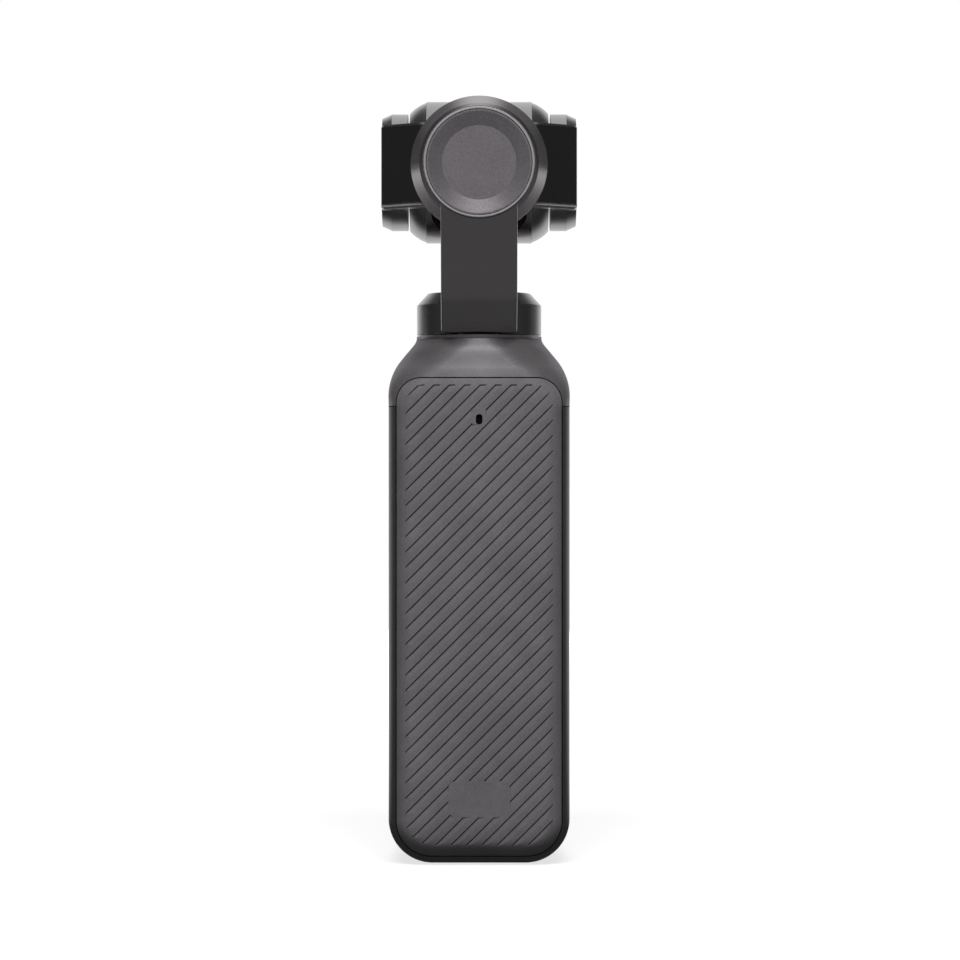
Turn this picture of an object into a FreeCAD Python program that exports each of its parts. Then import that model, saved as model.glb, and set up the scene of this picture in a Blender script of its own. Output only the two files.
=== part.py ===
import FreeCAD, Part
import math
import os

# Pocket gimbal camera: a grip with a turning screen, and a camera head on three motors.
# Millimetres, +Z up. The origin is on the pan axis, in the plane of the flat base.
# The front, with the screen, faces -Y. The ribbed back faces +Y.

V = FreeCAD.Vector
AXIS_X = V(1, 0, 0)
AXIS_Y = V(0, 1, 0)
AXIS_Z = V(0, 0, 1)

# Grip, outside
GRIP_WIDTH = 33.5
SIDE_DRAFT = 0.37
GRIP_BACK = 14.2
GRIP_FRONT = 15.0
SEAM_HEIGHT = 83.2
NECK_RISE = 13.04
NECK_RADIUS = 11.55
NECK_COLLAR = 0.7
BASE_CORNER = 8.0
BACK_EDGE = 4.6
FRONT_EDGE = 3.5
SHOULDER_ARC = 11.0
SHOULDER_START_RISE = 1.66
SHOULDER_SLOPE = 0.8
SHOULDER_EASE = 1.6
SHOULDER_BLEND = 1.5
SHOULDER_STEPS = 11
SHOULDER_FLAT = 0.25

# Grip, walls and seams
WALL = 1.4
THROAT_WALL = 2.6
NECK_SEAT_DEPTH = 3.0
SHOULDER_ROOM = 2.0
COVER_THICKNESS = 2.0
PANEL_THICKNESS = 1.2
PANEL_SIDE_REACH = 1.2
PANEL_TOP_DROP = 2.0
PANEL_CORNER = 5.6
LEDGE_WIDTH = 1.5
SEAM_GAP = 0.16
COVER_GAP = 0.2
TIGHT = 0.05
OVER = 1.0
FAR = 30.0
SNAP = 0.01

# Ribbed back cover
COVER_WIDTH = 29.92
COVER_TOP_RISE = 4.98
COVER_BOTTOM = 1.6
COVER_TOP_CORNER = 4.4
COVER_BASE_CORNER = 6.3
RIB_PITCH = 2.788
RIB_DEPTH = 0.34
RIB_SLOT = 0.2
RIB_LIP = 0.13
RIB_RAMP = 0.95
RIB_HOOK = 1.1
RIB_MARGIN = 1.15
RIB_SIDE_MARGIN = 1.6
RIB_BASE_MARGIN = 2.0
RIB_FIRST = 11.01
MIC_DROP = 2.47
MIC_WIDTH = 1.2
MIC_LENGTH = 1.86
MIC_KEEP_OUT = 2.4
MIC_KEEP_OUT_BELOW = 0.95
MIC_KEEP_OUT_ABOVE = 1.95
PATCH_WIDTH = 11.2
PATCH_HEIGHT = 6.6
PATCH_CENTRE = 11.93
PATCH_CORNER = 1.5

# Screen
SCREEN_WIDTH = 31.0
SCREEN_HEIGHT = 53.0
SCREEN_DROP = 26.2
SCREEN_CORNER = 4.0
SCREEN_DEPTH = 3.4
SCREEN_GAP = 0.25
GLASS_THICKNESS = 0.7
GLASS_MARGIN = 0.8
GLASS_BEVEL = 0.2
SCREEN_BACK_ROUND = 1.1
DISPLAY_CORNER = 1.0
DISPLAY_WIDTH = 26.0
DISPLAY_HEIGHT = 45.4
DISPLAY_THICKNESS = 1.1
PIVOT_RADIUS = 4.0
PIVOT_BORE = 2.4
PIVOT_RUNNING = 0.06
BUSH_WALL = 0.9
BUSH_LENGTH = 2.2
BUSH_FLANGE = 1.5
BUSH_FLANGE_THICKNESS = 0.8
COLLAR_THICKNESS = 0.8
COLLAR_GAP = 0.1

# Microphone behind the back cover
MIC_BODY_WIDTH = 3.2
MIC_BODY_HEIGHT = 4.4
MIC_BODY = 1.1
BOOT_LENGTH = 1.4
BOOT_WIDTH = 3.4
BOOT_HEIGHT = 4.0
BOOT_CORNER = 0.8

# Controls on the front
CONTROL_HEIGHT = 17.0
CONTROL_OFFSET = 7.0
STICK_TOP = 19.95
STICK_CAP_RADIUS = 3.7
STICK_CAP_HEIGHT = 3.0
STICK_CAP_CROWN = 0.5
STICK_CAP_DISH = 0.35
STICK_CAP_DISH_RADIUS = 2.2
STICK_CAP_FALL = 0.1
STICK_CAP_SIDE = 1.3
STICK_CAP_NECK = 2.3
STICK_HOLE_RADIUS = 3.1
STICK_STEM_RADIUS = 1.2
STICK_PIVOT = 12.4
STICK_PRESS = 0.3
STICK_STEM_DROP = 1.1
STICK_STEM_TAIL = 0.9
STICK_BASE_SIZE = 9.4
STICK_BASE_DEPTH = 3.0
RING_OUTER = 3.1
RING_INNER = 2.2
RING_THICKNESS = 1.1
RING_PIN_RADIUS = 0.35
RING_ROOM = 0.6
PIN_SPARE = 0.2
RUNNING = 0.05
BUTTON_RADIUS = 4.4
BUTTON_PROUD = 0.9
BUTTON_TRAVEL = 0.3
BUTTON_GAP = 0.1
BUTTON_FLANGE = 0.6
BUTTON_FLANGE_REACH = 0.7
BUTTON_EDGE = 0.35
BUTTON_FOOT_RADIUS = 1.4
BUTTON_FOOT_LENGTH = 0.7
SWITCH_WIDTH = 4.6
SWITCH_PLUNGER_RADIUS = 1.1
SWITCH_PLUNGER_LENGTH = 0.6
INLAY_RADIUS = 1.9
INLAY_DEPTH = 0.3

# Boards and the battery inside the grip
CHASSIS_Y = 1.0
CHASSIS_THICKNESS = 1.0
CHASSIS_WIDTH = 30.0
CHASSIS_BASE = 3.4
CHASSIS_TOP_GAP = 0.6
CHASSIS_CORNER = 5.0
RAIL_THICKNESS = 0.8
RAIL_DEPTH = 7.0
TOWER_WIDTH = 10.0
TOWER_WALL = 1.4
TOWER_FACE = 1.0
TOWER_GAP = 2.0
BATTERY_WIDTH = 26.6
BATTERY_DROP = 12.2
BATTERY_BASE = 11.0
BATTERY_SIDE_ROUND = 3.0
BATTERY_GAP = 0.2
BATTERY_SWELL = 0.6
BOARD_THICKNESS = 0.9
MAIN_BOARD_WIDTH = 28.4
MAIN_BOARD_BASE = 7.6
MAIN_BOARD_DROP = 4.2
MAIN_BOARD_STANDOFF = 2.0
SHIELD_WIDTH = 21.0
SHIELD_HEIGHT = 24.0
SHIELD_DROP = 3.0
SHIELD_DEPTH = 1.9
SHIELD_WALL = 0.3
SHIELD_HOLE = 0.5
SHIELD_HOLES = 5
SHIELD_HOLE_PITCH = 4.0
SHIELD_HOLE_DROP = 4.0
CONTROL_BOARD_BASE = 6.2
CONTROL_BOARD_TOP = 27.0
CONTROL_BOARD_CORNER = 4.0
CONTROL_BOARD_DEPTH = 4.2
POST_LOW = 2.6
POST_HIGH = 2.4
STANDOFF_DROP = 3.0
POST_RADIUS = 1.5
POST_SPREAD = 11.6
SCREW_HEAD_RADIUS = 1.5
SCREW_HEAD_HEIGHT = 0.8
SCREW_RADIUS = 0.8
SCREW_LENGTH = 3.0
SCREW_CROSS_LENGTH = 1.6
SCREW_CROSS_WIDTH = 0.3
SCREW_CROSS_DEPTH = 0.4
USB_WIDTH = 8.94
USB_DEPTH = 3.26
USB_LENGTH = 7.3
USB_WALL = 0.3
USB_CLEARANCE = 0.1
USB_INSET = 0.4
USB_BACK_WALL = 1.0
USB_TONGUE_WIDTH = 6.6
USB_TONGUE_THICKNESS = 0.7
USB_TONGUE_INSET = 0.8
USB_FOOT_WIDTH = 7.0
USB_FOOT_HEIGHT = 1.2
CARD_LENGTH = 11.6
CARD_SLOT_DEPTH = 1.2
CARD_SHIELD_GAP = 1.7
CARD_SOCKET_WIDTH = 12.6
CARD_SOCKET_DEPTH = 1.8
CARD_SOCKET_LENGTH = 13.5
CARD_THROAT_LENGTH = 12.0
CARD_SOCKET_GAP = 0.2
NAIL_RADIUS = 2.2
NAIL_DEPTH = 0.5
NAIL_LENGTH = 6.0
SPEAKER_WIDTH = 14.0
SPEAKER_HEIGHT = 4.2
SPEAKER_DEPTH = 3.0
SPEAKER_CORNER = 1.4
SPEAKER_RIM = 0.7
SPEAKER_DISH = 0.4
SPEAKER_CENTRE = 8.0
SPEAKER_HOLE = 0.5
SPEAKER_HOLES = 5
SPEAKER_HOLE_PITCH = 1.8
LIGHT_HEIGHT = 23.5
LIGHT_RADIUS = 0.5
LIGHT_SHOULDER = 0.6
LIGHT_SHOULDER_LENGTH = 0.8

# Pan motor and arm
PAN_GAP = 0.3
ROTOR_RADIUS = 11.5
ROTOR_RISE = 7.91
ROTOR_CHAMFER_HEIGHT = 2.2
ROTOR_CHAMFER_WIDTH = 2.0
ROTOR_ROOF = 1.3
PAN_PLATE_THICKNESS = 1.6
PAN_CORE_GAP = 1.0
PAN_CORE_HEIGHT = 2.8
PAN_COIL_OVERHANG = 0.4
ARM_WIDTH = 13.79
ARM_FOOT_REACH = 12.0
ARM_FOOT_ROUND = 5.6
ARM_FOOT_RISE = 6.45
ARM_BACK_AT_FOOT = 17.0
ARM_LEAN = 0.30
ARM_EDGE = 0.4
ARM_TOP_HOLD = 0.5
ARM_SWEEP_LOW = 2.0
ARM_SWEEP_HIGH = 1.6
ARM_ROOT = 8.0
ARM_SHELF = 0.2
ARM_TOE = 0.4
ARM_BENDS = (1.5, 1.0)
ARM_HEEL = 1.2
POCKET_HALF = 4.2
POCKET_MARGIN = 1.2
POCKET_DEPTH = 1.1
RIBBON_THICKNESS = 0.3
RIBBON_HALF = 3.2

# Head axis, roll motor drum and cap
HEAD_RISE = 30.38
DRUM_FRONT = 17.25
DRUM_RADIUS = 12.33
DRUM_RIM_LENGTH = 0.5
DRUM_BACK = 21.1
DRUM_BACK_RADIUS = 10.2
DRUM_BORE = 9.5
DRUM_FLOOR = 0.8
DRUM_EDGE = 0.25
DRUM_SHOULDER_WIDTH = 0.5
DRUM_SHOULDER_DEPTH = 0.35
CAP_RADIUS = 9.97
CAP_RING_WIDTH = 0.42
CAP_DEPTH = 1.15
CAP_RECESS = 0.9
CAP_DISC_RADIUS = 6.67
CAP_LIP = 0.3
CAP_EDGE = 0.12
CAP_GROOVE = 0.12
CAP_STEP = 0.05
ROLL_CORE_START = 0.6
ROLL_CORE_HEIGHT = 1.3
ROLL_COIL_OVERHANG = 0.35
ROLL_HUB_GAP = 0.35

# Yoke
YOKE_FRONT = 13.35
YOKE_BACK = 16.95
YOKE_HUB_RADIUS = 12.0
YOKE_ARM_HEIGHT = 15.3
YOKE_HALF_WIDTH = 17.83
YOKE_SIDE_START = 11.4
YOKE_DIAGONAL_X = 10.8
YOKE_CAMERA_GAP = 0.35
YOKE_EDGE = 0.4
YOKE_CHEEK_FRONT = 4.0
YOKE_INNER_RISE = 1.6
YOKE_INNER_RUN = 2.4
YOKE_HEEL = 1.2
YOKE_BEND = 2.6
YOKE_INNER_BEND = 0.8
SHAFT_SEAT_DEPTH = 0.8
MAGNET_SEAT = 0.5

# Tilt housings
HOUSING_RADIUS = 10.76
HOUSING_LENGTH = 4.73
HOUSING_CHAMFER_LENGTH = 1.8
HOUSING_CHAMFER_DEPTH = 0.8
HOUSING_WALL = 1.0
HOUSING_BORE = 9.4
TILT_LID = 0.8
TILT_HUB_DROP = 0.9
BEARING_SINK = 0.5
BEARING_SPARE = 0.8
SHAFT_HOLE_MARGIN = 0.4
TILT_CORE_GAP = 0.45
TILT_CORE_HEIGHT = 0.9
TILT_COIL_OVERHANG = 0.3
TILT_MAGNET_GAP = 0.25
TILT_CUP_WEB = 0.4

# Camera barrel
BARREL_RADIUS = 13.05
BARREL_STEP = 0.15
BARREL_END_LENGTH = 3.07
BARREL_SIDE_GAP = 0.36
BARREL_END_RADIUS = 10.88
RECESS_HALF_WIDTH = 8.71
RECESS_HALF_HEIGHT = 11.48
RECESS_CORNER = 3.2
FRONT_RECESS = 7.0
REAR_RECESS = 6.4
FLOOR_THICKNESS = 1.2
CORE_RADIUS = 8.4
LENS_RING_RADIUS = 8.2
LENS_RING_FRONT = 10.0
LENS_TUBE_RADIUS = 7.8
LENS_BORE = 6.7
LENS_DOME = 1.6
LENS_STEPS = (0.7, 1.5)
LENS_STEP_TWO = 4.6
LENS_STEP_THREE = -1.0
LENS_TUBE_BACK = 1.6
LENS_RING_EDGE = 0.4
LENS_BEVEL_DEPTH = 1.1
LENS_BEVEL_WIDTH = 0.5
LENS_BEVEL_RISE = 0.35
SECOND_LENS_SINK = 1.9
THIRD_LENS_SINK = 4.4
REAR_LENS_AHEAD = 3.4
SECOND_LENS_SAGS = (0.9, 0.5)
THIRD_LENS_SAGS = (0.5, 0.8)
REAR_LENS_SAGS = (0.6, 0.3)
BEZEL_THICKNESS = 1.5
BEZEL_EDGE = 0.4
REAR_PLATE_THICKNESS = 0.9
BARREL_BULGE_X = 0.6
BARREL_BULGE_R = 0.46
TILT_SHAFT_SEAT = 2.6
SENSOR_Y = 4.2
GLASS_SINK = 1.2
GLASS_EDGE = 0.9
LENS_EDGE = 0.8
GLASS_FIT = 0.02
SENSOR_WIDTH = 13.2
SENSOR_HEIGHT = 8.8
SENSOR_DEPTH = 1.2

# Parts shared by the three motors
BEARING_OUTER = 3.0
BEARING_INNER = 1.5
BEARING_WIDTH = 1.3
BEARING_RACE = 0.45
BEARING_SHIELD = 0.15
SHAFT_CLEARANCE = 0.02
HUB_WALL = 0.7
CORE_RING = 1.0
TEETH = 9
TOOTH_WIDTH = 1.3
TIP_THICKNESS = 0.5
STATOR_RADIUS = 6.9
SLOT_OPENING = 0.8
TOOTH_ROOT = 0.3
COIL_WIDTH = 2.5
COIL_CLEARANCE = 0.05
AIR_GAP = 0.25
MAGNET_THICKNESS = 1.0
CUP_THICKNESS = 0.8
MOTOR_CLEARANCE = 0.3

# Values worked out from the sizes above
HALF_GRIP = GRIP_WIDTH / 2
NECK_HEIGHT = SEAM_HEIGHT + NECK_RISE
SHOULDER_START = SEAM_HEIGHT + SHOULDER_START_RISE
COVER_TOP = SEAM_HEIGHT + COVER_TOP_RISE
MIC_HEIGHT = SEAM_HEIGHT - MIC_DROP
SCREEN_CENTRE = SEAM_HEIGHT - SCREEN_DROP
BATTERY_HEIGHT = SEAM_HEIGHT - BATTERY_DROP - BATTERY_BASE
MAIN_BOARD_TOP = SEAM_HEIGHT - MAIN_BOARD_DROP
SHIELD_BASE = MAIN_BOARD_TOP - SHIELD_DROP - SHIELD_HEIGHT
CARD_HEIGHT = SHIELD_BASE - CARD_SHIELD_GAP - CARD_SOCKET_WIDTH / 2
ROTOR_TOP = NECK_HEIGHT + ROTOR_RISE
ARM_FOOT_HEIGHT = NECK_HEIGHT + ARM_FOOT_RISE
HEAD_HEIGHT = NECK_HEIGHT + HEAD_RISE
HOUSING_INNER = YOKE_HALF_WIDTH - HOUSING_LENGTH
BARREL_HALF_WIDTH = HOUSING_INNER - BARREL_SIDE_GAP
BARREL_RIM = BARREL_HALF_WIDTH - BARREL_END_LENGTH
COVER_FLOOR = GRIP_BACK - COVER_THICKNESS
PANEL_FLOOR = -(GRIP_FRONT - PANEL_THICKNESS)
HUB_RADIUS = BEARING_OUTER + HUB_WALL
CORE_OUTER = HUB_RADIUS + CORE_RING
MAGNET_INNER = STATOR_RADIUS + AIR_GAP
MAGNET_OUTER = MAGNET_INNER + MAGNET_THICKNESS
CUP_RADIUS = MAGNET_OUTER + CUP_THICKNESS
SHAFT_RADIUS = BEARING_INNER - SHAFT_CLEARANCE
HEAD = V(0, 0, HEAD_HEIGHT)

parts = {}


# Helpers

def box(x0, x1, y0, y1, z0, z1):
    return Part.makeBox(x1 - x0, y1 - y0, z1 - z0, V(x0, y0, z0))


def cylinder(radius, start, axis, length):
    return Part.makeCylinder(radius, length, start, axis)


def tube(outer, inner, start, axis, length):
    return cylinder(outer, start, axis, length).cut(cylinder(inner, start, axis, length))


def rounded_wire(points, radii):
    """A closed outline through the points, with each corner rounded by its own radius."""
    edges = []
    previous_end = None
    first_start = None
    count = len(points)
    for index, corner in enumerate(points):
        radius = radii[index]
        back = (points[index - 1] - corner).normalize()
        ahead = (points[(index + 1) % count] - corner).normalize()
        if radius > 0:
            half_angle = back.getAngle(ahead) / 2
            reach = radius / math.tan(half_angle)
            start = corner + back * reach
            end = corner + ahead * reach
            inward = (back + ahead).normalize()
            middle = corner + inward * (radius / math.sin(half_angle) - radius)
        else:
            start = corner
            end = corner
        if previous_end is None:
            first_start = start
        else:
            edges.append(Part.makeLine(previous_end, start))
        if radius > 0:
            edges.append(Part.Arc(start, middle, end).toShape())
        previous_end = end
    edges.append(Part.makeLine(previous_end, first_start))
    return Part.Wire(edges)


def prism(points, radii, direction):
    """The rounded outline swept straight along a direction."""
    return Part.Face(rounded_wire(points, radii)).extrude(direction)


def plate_xz(half_width, z0, z1, radii, y0, y1):
    """A plate in the XZ plane from y0 to y1. The radii start at the base, -X side."""
    points = [V(-half_width, y0, z0), V(half_width, y0, z0),
              V(half_width, y0, z1), V(-half_width, y0, z1)]
    return prism(points, radii, V(0, y1 - y0, 0))


def turned(points, centre, axis):
    """A polygon turned a full circle about an axis."""
    wire = Part.makePolygon(points + [points[0]])
    return Part.Face(wire).revolve(centre, axis, 360)


def placed(shape, origin, direction):
    """A shape built along +Z at the origin, moved so that its axis points in a direction."""
    moved = shape.copy()
    moved.Placement = FreeCAD.Placement(origin, FreeCAD.Rotation(AXIS_Z, direction))
    return moved


def ring_of(shape, count):
    return [shape.rotated(V(0, 0, 0), AXIS_Z, 360 * index / count) for index in range(count)]


def bearing(start):
    """A small ball bearing with recessed shields between its races."""
    shield = BEARING_SHIELD
    outer = tube(BEARING_OUTER, BEARING_INNER, V(0, 0, start), AXIS_Z, BEARING_WIDTH)
    for height in (start, start + BEARING_WIDTH - shield):
        groove = tube(BEARING_OUTER - BEARING_RACE, BEARING_INNER + BEARING_RACE,
                      V(0, 0, height), AXIS_Z, shield)
        outer = outer.cut(groove)
    return outer


def stator_core(start, height):
    """The laminated core: a ring on the hub, teeth, and tips that face the magnets."""
    core = tube(CORE_OUTER, HUB_RADIUS, V(0, 0, start), AXIS_Z, height)
    tips = tube(STATOR_RADIUS, STATOR_RADIUS - TIP_THICKNESS, V(0, 0, start), AXIS_Z, height)
    slot = box(0, STATOR_RADIUS + OVER, -SLOT_OPENING / 2, SLOT_OPENING / 2, start, start + height)
    slot = slot.rotated(V(0, 0, 0), AXIS_Z, 180 / TEETH)
    tips = tips.cut(ring_of(slot, TEETH))
    tooth_inner = CORE_OUTER - TOOTH_ROOT
    tooth_outer = STATOR_RADIUS - TIP_THICKNESS / 2
    tooth = box(tooth_inner, tooth_outer, -TOOTH_WIDTH / 2, TOOTH_WIDTH / 2, start, start + height)
    return core.multiFuse([tips] + ring_of(tooth, TEETH)).removeSplitter()


def stator_coils(start, height, core_start, core_height):
    """One wound block round each tooth."""
    inner = CORE_OUTER + COIL_CLEARANCE
    tip_inside = STATOR_RADIUS - TIP_THICKNESS
    outer = math.sqrt(tip_inside ** 2 - (COIL_WIDTH / 2) ** 2) - COIL_CLEARANCE
    coil = box(inner, outer, -COIL_WIDTH / 2, COIL_WIDTH / 2, start, start + height)
    tooth = box(0, STATOR_RADIUS, -TOOTH_WIDTH / 2, TOOTH_WIDTH / 2,
                core_start, core_start + core_height)
    return ring_of(coil.cut(tooth), TEETH)


def wound_stator(core_start, core_height, overhang):
    """The core with its coils, which stand out a little at both ends."""
    core = stator_core(core_start, core_height)
    coils = stator_coils(core_start - overhang, core_height + 2 * overhang,
                         core_start, core_height)
    return Part.makeCompound([core] + coils)


# Grip outside

def shoulder_half_width(height):
    """Half the width of the shoulder: an arc from the side walls, then a straight slope."""
    rise = max(0.0, height - SHOULDER_START)
    slope_angle = math.atan(SHOULDER_SLOPE)
    arc_rise = SHOULDER_ARC * math.sin(slope_angle)
    if rise <= arc_rise:
        return HALF_GRIP - SHOULDER_ARC + math.sqrt(SHOULDER_ARC ** 2 - rise ** 2)
    arc_end = HALF_GRIP - SHOULDER_ARC * (1 - math.cos(slope_angle))
    return arc_end - (rise - arc_rise) * SHOULDER_SLOPE


def shoulder_section(height):
    """One level of the shoulder, from the grip's rounded box to the round neck."""
    top = NECK_HEIGHT - NECK_COLLAR
    share = (height - SEAM_HEIGHT) / (top - SEAM_HEIGHT)
    half = max(shoulder_half_width(height), NECK_RADIUS)
    if share >= 1:
        half = NECK_RADIUS + TIGHT
    ease = max(0.0, (height - COVER_TOP) / (top - COVER_TOP))
    back = GRIP_BACK + (half - GRIP_BACK) * ease ** SHOULDER_EASE
    front = GRIP_FRONT + (half - GRIP_FRONT) * ease ** SHOULDER_EASE
    if share >= 1:
        back = half
        front = half
    blend = share ** SHOULDER_BLEND
    round_limit = half - SHOULDER_FLAT
    back_round = BACK_EDGE + (round_limit - BACK_EDGE) * blend
    front_round = FRONT_EDGE + (round_limit - FRONT_EDGE) * blend
    back_half = half - SIDE_DRAFT * max(0.0, 1 - share)
    points = [V(-half, -front, height), V(half, -front, height), V(half, 0, height),
              V(back_half, back, height), V(-back_half, back, height), V(-half, 0, height)]
    return rounded_wire(points, [front_round, front_round, 0, back_round, back_round, 0])


def drafted_half(side):
    """One half of the walls behind the middle, swept back and a little inwards."""
    points = [V(side * HALF_GRIP, 0, 0), V(-side * OVER, 0, 0),
              V(-side * OVER, 0, SEAM_HEIGHT), V(side * HALF_GRIP, 0, SEAM_HEIGHT)]
    half = prism(points, [BASE_CORNER, 0, 0, 0], V(-side * SIDE_DRAFT, GRIP_BACK, 0))
    x0 = min(0, side * FAR)
    return half.common(box(x0, x0 + FAR, -OVER, GRIP_BACK + OVER, -OVER, SEAM_HEIGHT + OVER))


def grip_lower_outside():
    """The walls below the seam, with rounded base corners and rounded front and back edges."""
    block = plate_xz(HALF_GRIP, 0, SEAM_HEIGHT, [BASE_CORNER, BASE_CORNER, 0, 0], -GRIP_FRONT, 0)
    block = block.multiFuse([drafted_half(-1), drafted_half(1)]).removeSplitter()
    for level, radius in ((GRIP_BACK, BACK_EDGE), (-GRIP_FRONT, FRONT_EDGE)):
        loop = []
        for edge in block.Edges:
            bounds = edge.BoundBox
            flat = abs(bounds.YMin - level) < SNAP and abs(bounds.YMax - level) < SNAP
            if flat and bounds.ZMin < SEAM_HEIGHT - OVER:
                loop.append(edge)
        block = block.makeFillet(radius, loop)
    return block


def grip_shoulder_outside():
    top = NECK_HEIGHT - NECK_COLLAR
    steps = SHOULDER_STEPS
    heights = [SEAM_HEIGHT + (top - SEAM_HEIGHT) * step / steps for step in range(steps + 1)]
    shoulder = Part.makeLoft([shoulder_section(height) for height in heights], True, False)
    collar = cylinder(NECK_RADIUS, V(0, 0, top), AXIS_Z, NECK_COLLAR)
    return shoulder.fuse(collar)


def cover_outline(margin, y0, y1, extra_top=0.0):
    """A prism on the outline of the back cover, grown or shrunk by a margin."""
    top_corner = COVER_TOP_CORNER + margin
    base_corner = COVER_BASE_CORNER + margin
    return plate_xz(COVER_WIDTH / 2 + margin, COVER_BOTTOM - margin,
                    COVER_TOP + margin + extra_top,
                    [base_corner, base_corner, top_corner, top_corner], y0, y1)


def panel_outline(margin, y0, y1):
    """A prism on the outline of the front panel."""
    half = HALF_GRIP - FRONT_EDGE + PANEL_SIDE_REACH + margin
    corner = PANEL_CORNER + margin
    return plate_xz(half, FRONT_EDGE - PANEL_SIDE_REACH - margin,
                    COVER_TOP - PANEL_TOP_DROP + margin,
                    [corner, corner, corner, corner], y0, y1)


lower_outside = grip_lower_outside()
shoulder_outside = grip_shoulder_outside()
grip_outside = lower_outside.fuse(shoulder_outside)


# Ribbed back cover

def rib_cutters():
    """Fine saw-tooth grooves at 45 degrees, cut to the rib field and kept off the hole."""
    half_field = COVER_WIDTH / 2 - RIB_SIDE_MARGIN
    field_top = COVER_TOP - RIB_MARGIN
    field_base = COVER_BOTTOM + RIB_BASE_MARGIN
    top_corner = COVER_TOP_CORNER - RIB_MARGIN
    base_corner = COVER_BASE_CORNER - RIB_SIDE_MARGIN
    above = OVER / 2
    field = plate_xz(half_field, field_base, field_top,
                     [base_corner, base_corner, top_corner, top_corner],
                     GRIP_BACK - RIB_DEPTH - above, GRIP_BACK + above)
    keep_mic = box(-MIC_KEEP_OUT / 2, MIC_KEEP_OUT / 2, COVER_FLOOR, FAR,
                   MIC_HEIGHT - MIC_KEEP_OUT_BELOW, MIC_HEIGHT + MIC_KEEP_OUT_ABOVE)
    keep_patch = plate_xz(PATCH_WIDTH / 2, PATCH_CENTRE - PATCH_HEIGHT / 2,
                          PATCH_CENTRE + PATCH_HEIGHT / 2, [PATCH_CORNER] * 4, COVER_FLOOR, FAR)
    along = V(1, 0, -1).normalize()
    across = V(-1, 0, -1).normalize()
    span = (field_top - field_base + 2 * half_field) * math.sqrt(2)
    count = int((RIB_FIRST + half_field + field_top - field_base) / RIB_PITCH)
    cutters = []
    for index in range(count):
        start = V(RIB_FIRST - index * RIB_PITCH, GRIP_BACK, field_top) - along * (3 * OVER)
        slot = start + across * RIB_SLOT
        profile = [start + AXIS_Y * above, start - AXIS_Y * RIB_DEPTH, slot - AXIS_Y * RIB_DEPTH,
                   slot - AXIS_Y * RIB_LIP, start + across * RIB_RAMP,
                   start + across * RIB_RAMP + AXIS_Y * above]
        groove = Part.Face(Part.makePolygon(profile + [profile[0]])).extrude(along * span)
        top = RIB_FIRST - index * RIB_PITCH
        if top - RIB_HOOK > top_corner - half_field:
            hook = box(top - RIB_HOOK, top, GRIP_BACK - RIB_DEPTH, GRIP_BACK + above,
                       field_top - RIB_SLOT, field_top + OVER)
            groove = groove.fuse(hook)
        groove = groove.common(field)
        groove = groove.cut([keep_mic, keep_patch])
        cutters.extend(groove.Solids)
    return cutters


def make_rear_cover():
    cover = grip_outside.common(cover_outline(0, COVER_FLOOR, FAR))
    mic_round = MIC_WIDTH / 2 - TIGHT
    hole = plate_xz(MIC_WIDTH / 2, MIC_HEIGHT - MIC_LENGTH / 2, MIC_HEIGHT + MIC_LENGTH / 2,
                    [mic_round] * 4, COVER_FLOOR - OVER, FAR)
    cover = cover.cut(hole)
    return cover.cut(rib_cutters())


# Grip shells

def grip_cavity():
    """The space inside the side walls, with ledges for the cover and the panel."""
    inner = HALF_GRIP - WALL
    corner = BASE_CORNER - WALL
    room = plate_xz(inner, WALL, SEAM_HEIGHT + SHOULDER_ROOM, [corner, corner, 0, 0],
                    PANEL_FLOOR + WALL, COVER_FLOOR - WALL)
    rear = cover_outline(-LEDGE_WIDTH, COVER_FLOOR - WALL, COVER_FLOOR)
    front = panel_outline(-LEDGE_WIDTH, PANEL_FLOOR, PANEL_FLOOR + WALL)
    return room.multiFuse([rear, front])


def usb_outline(margin, z0, z1):
    """The rounded port outline, seen from below, from z0 to z1."""
    half_width = USB_WIDTH / 2 + margin
    half_depth = USB_DEPTH / 2 + margin
    corner = half_depth - TIGHT
    centre = USB_CENTRE
    points = [V(-half_width, centre - half_depth, z0), V(half_width, centre - half_depth, z0),
              V(half_width, centre + half_depth, z0), V(-half_width, centre + half_depth, z0)]
    return prism(points, [corner] * 4, V(0, 0, z1 - z0))


BOARD_BACK = CHASSIS_Y - MAIN_BOARD_STANDOFF
BOARD_FRONT = BOARD_BACK - BOARD_THICKNESS
USB_CENTRE = BOARD_FRONT - USB_DEPTH / 2 - TIGHT
CARD_Y = BOARD_FRONT - CARD_SOCKET_DEPTH / 2


def make_side_frame():
    frame = lower_outside.cut(grip_cavity())
    frame = frame.cut(cover_outline(COVER_GAP, COVER_FLOOR, FAR))
    frame = frame.cut(panel_outline(COVER_GAP, -FAR, PANEL_FLOOR))
    frame = frame.cut(usb_outline(USB_CLEARANCE, -OVER, WALL + OVER))
    slot = box(-HALF_GRIP - OVER, -HALF_GRIP + WALL + OVER, CARD_Y - CARD_SLOT_DEPTH / 2,
               CARD_Y + CARD_SLOT_DEPTH / 2, CARD_HEIGHT - CARD_LENGTH / 2,
               CARD_HEIGHT + CARD_LENGTH / 2)
    nail_start = V(-HALF_GRIP - NAIL_RADIUS + NAIL_DEPTH, CARD_Y, CARD_HEIGHT - NAIL_LENGTH / 2)
    nail = cylinder(NAIL_RADIUS, nail_start, AXIS_Z, NAIL_LENGTH)
    frame = frame.cut([slot, nail])
    return frame.cut(box(-FAR, FAR, -FAR, FAR, SEAM_HEIGHT - SEAM_GAP, SEAM_HEIGHT + OVER))


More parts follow.
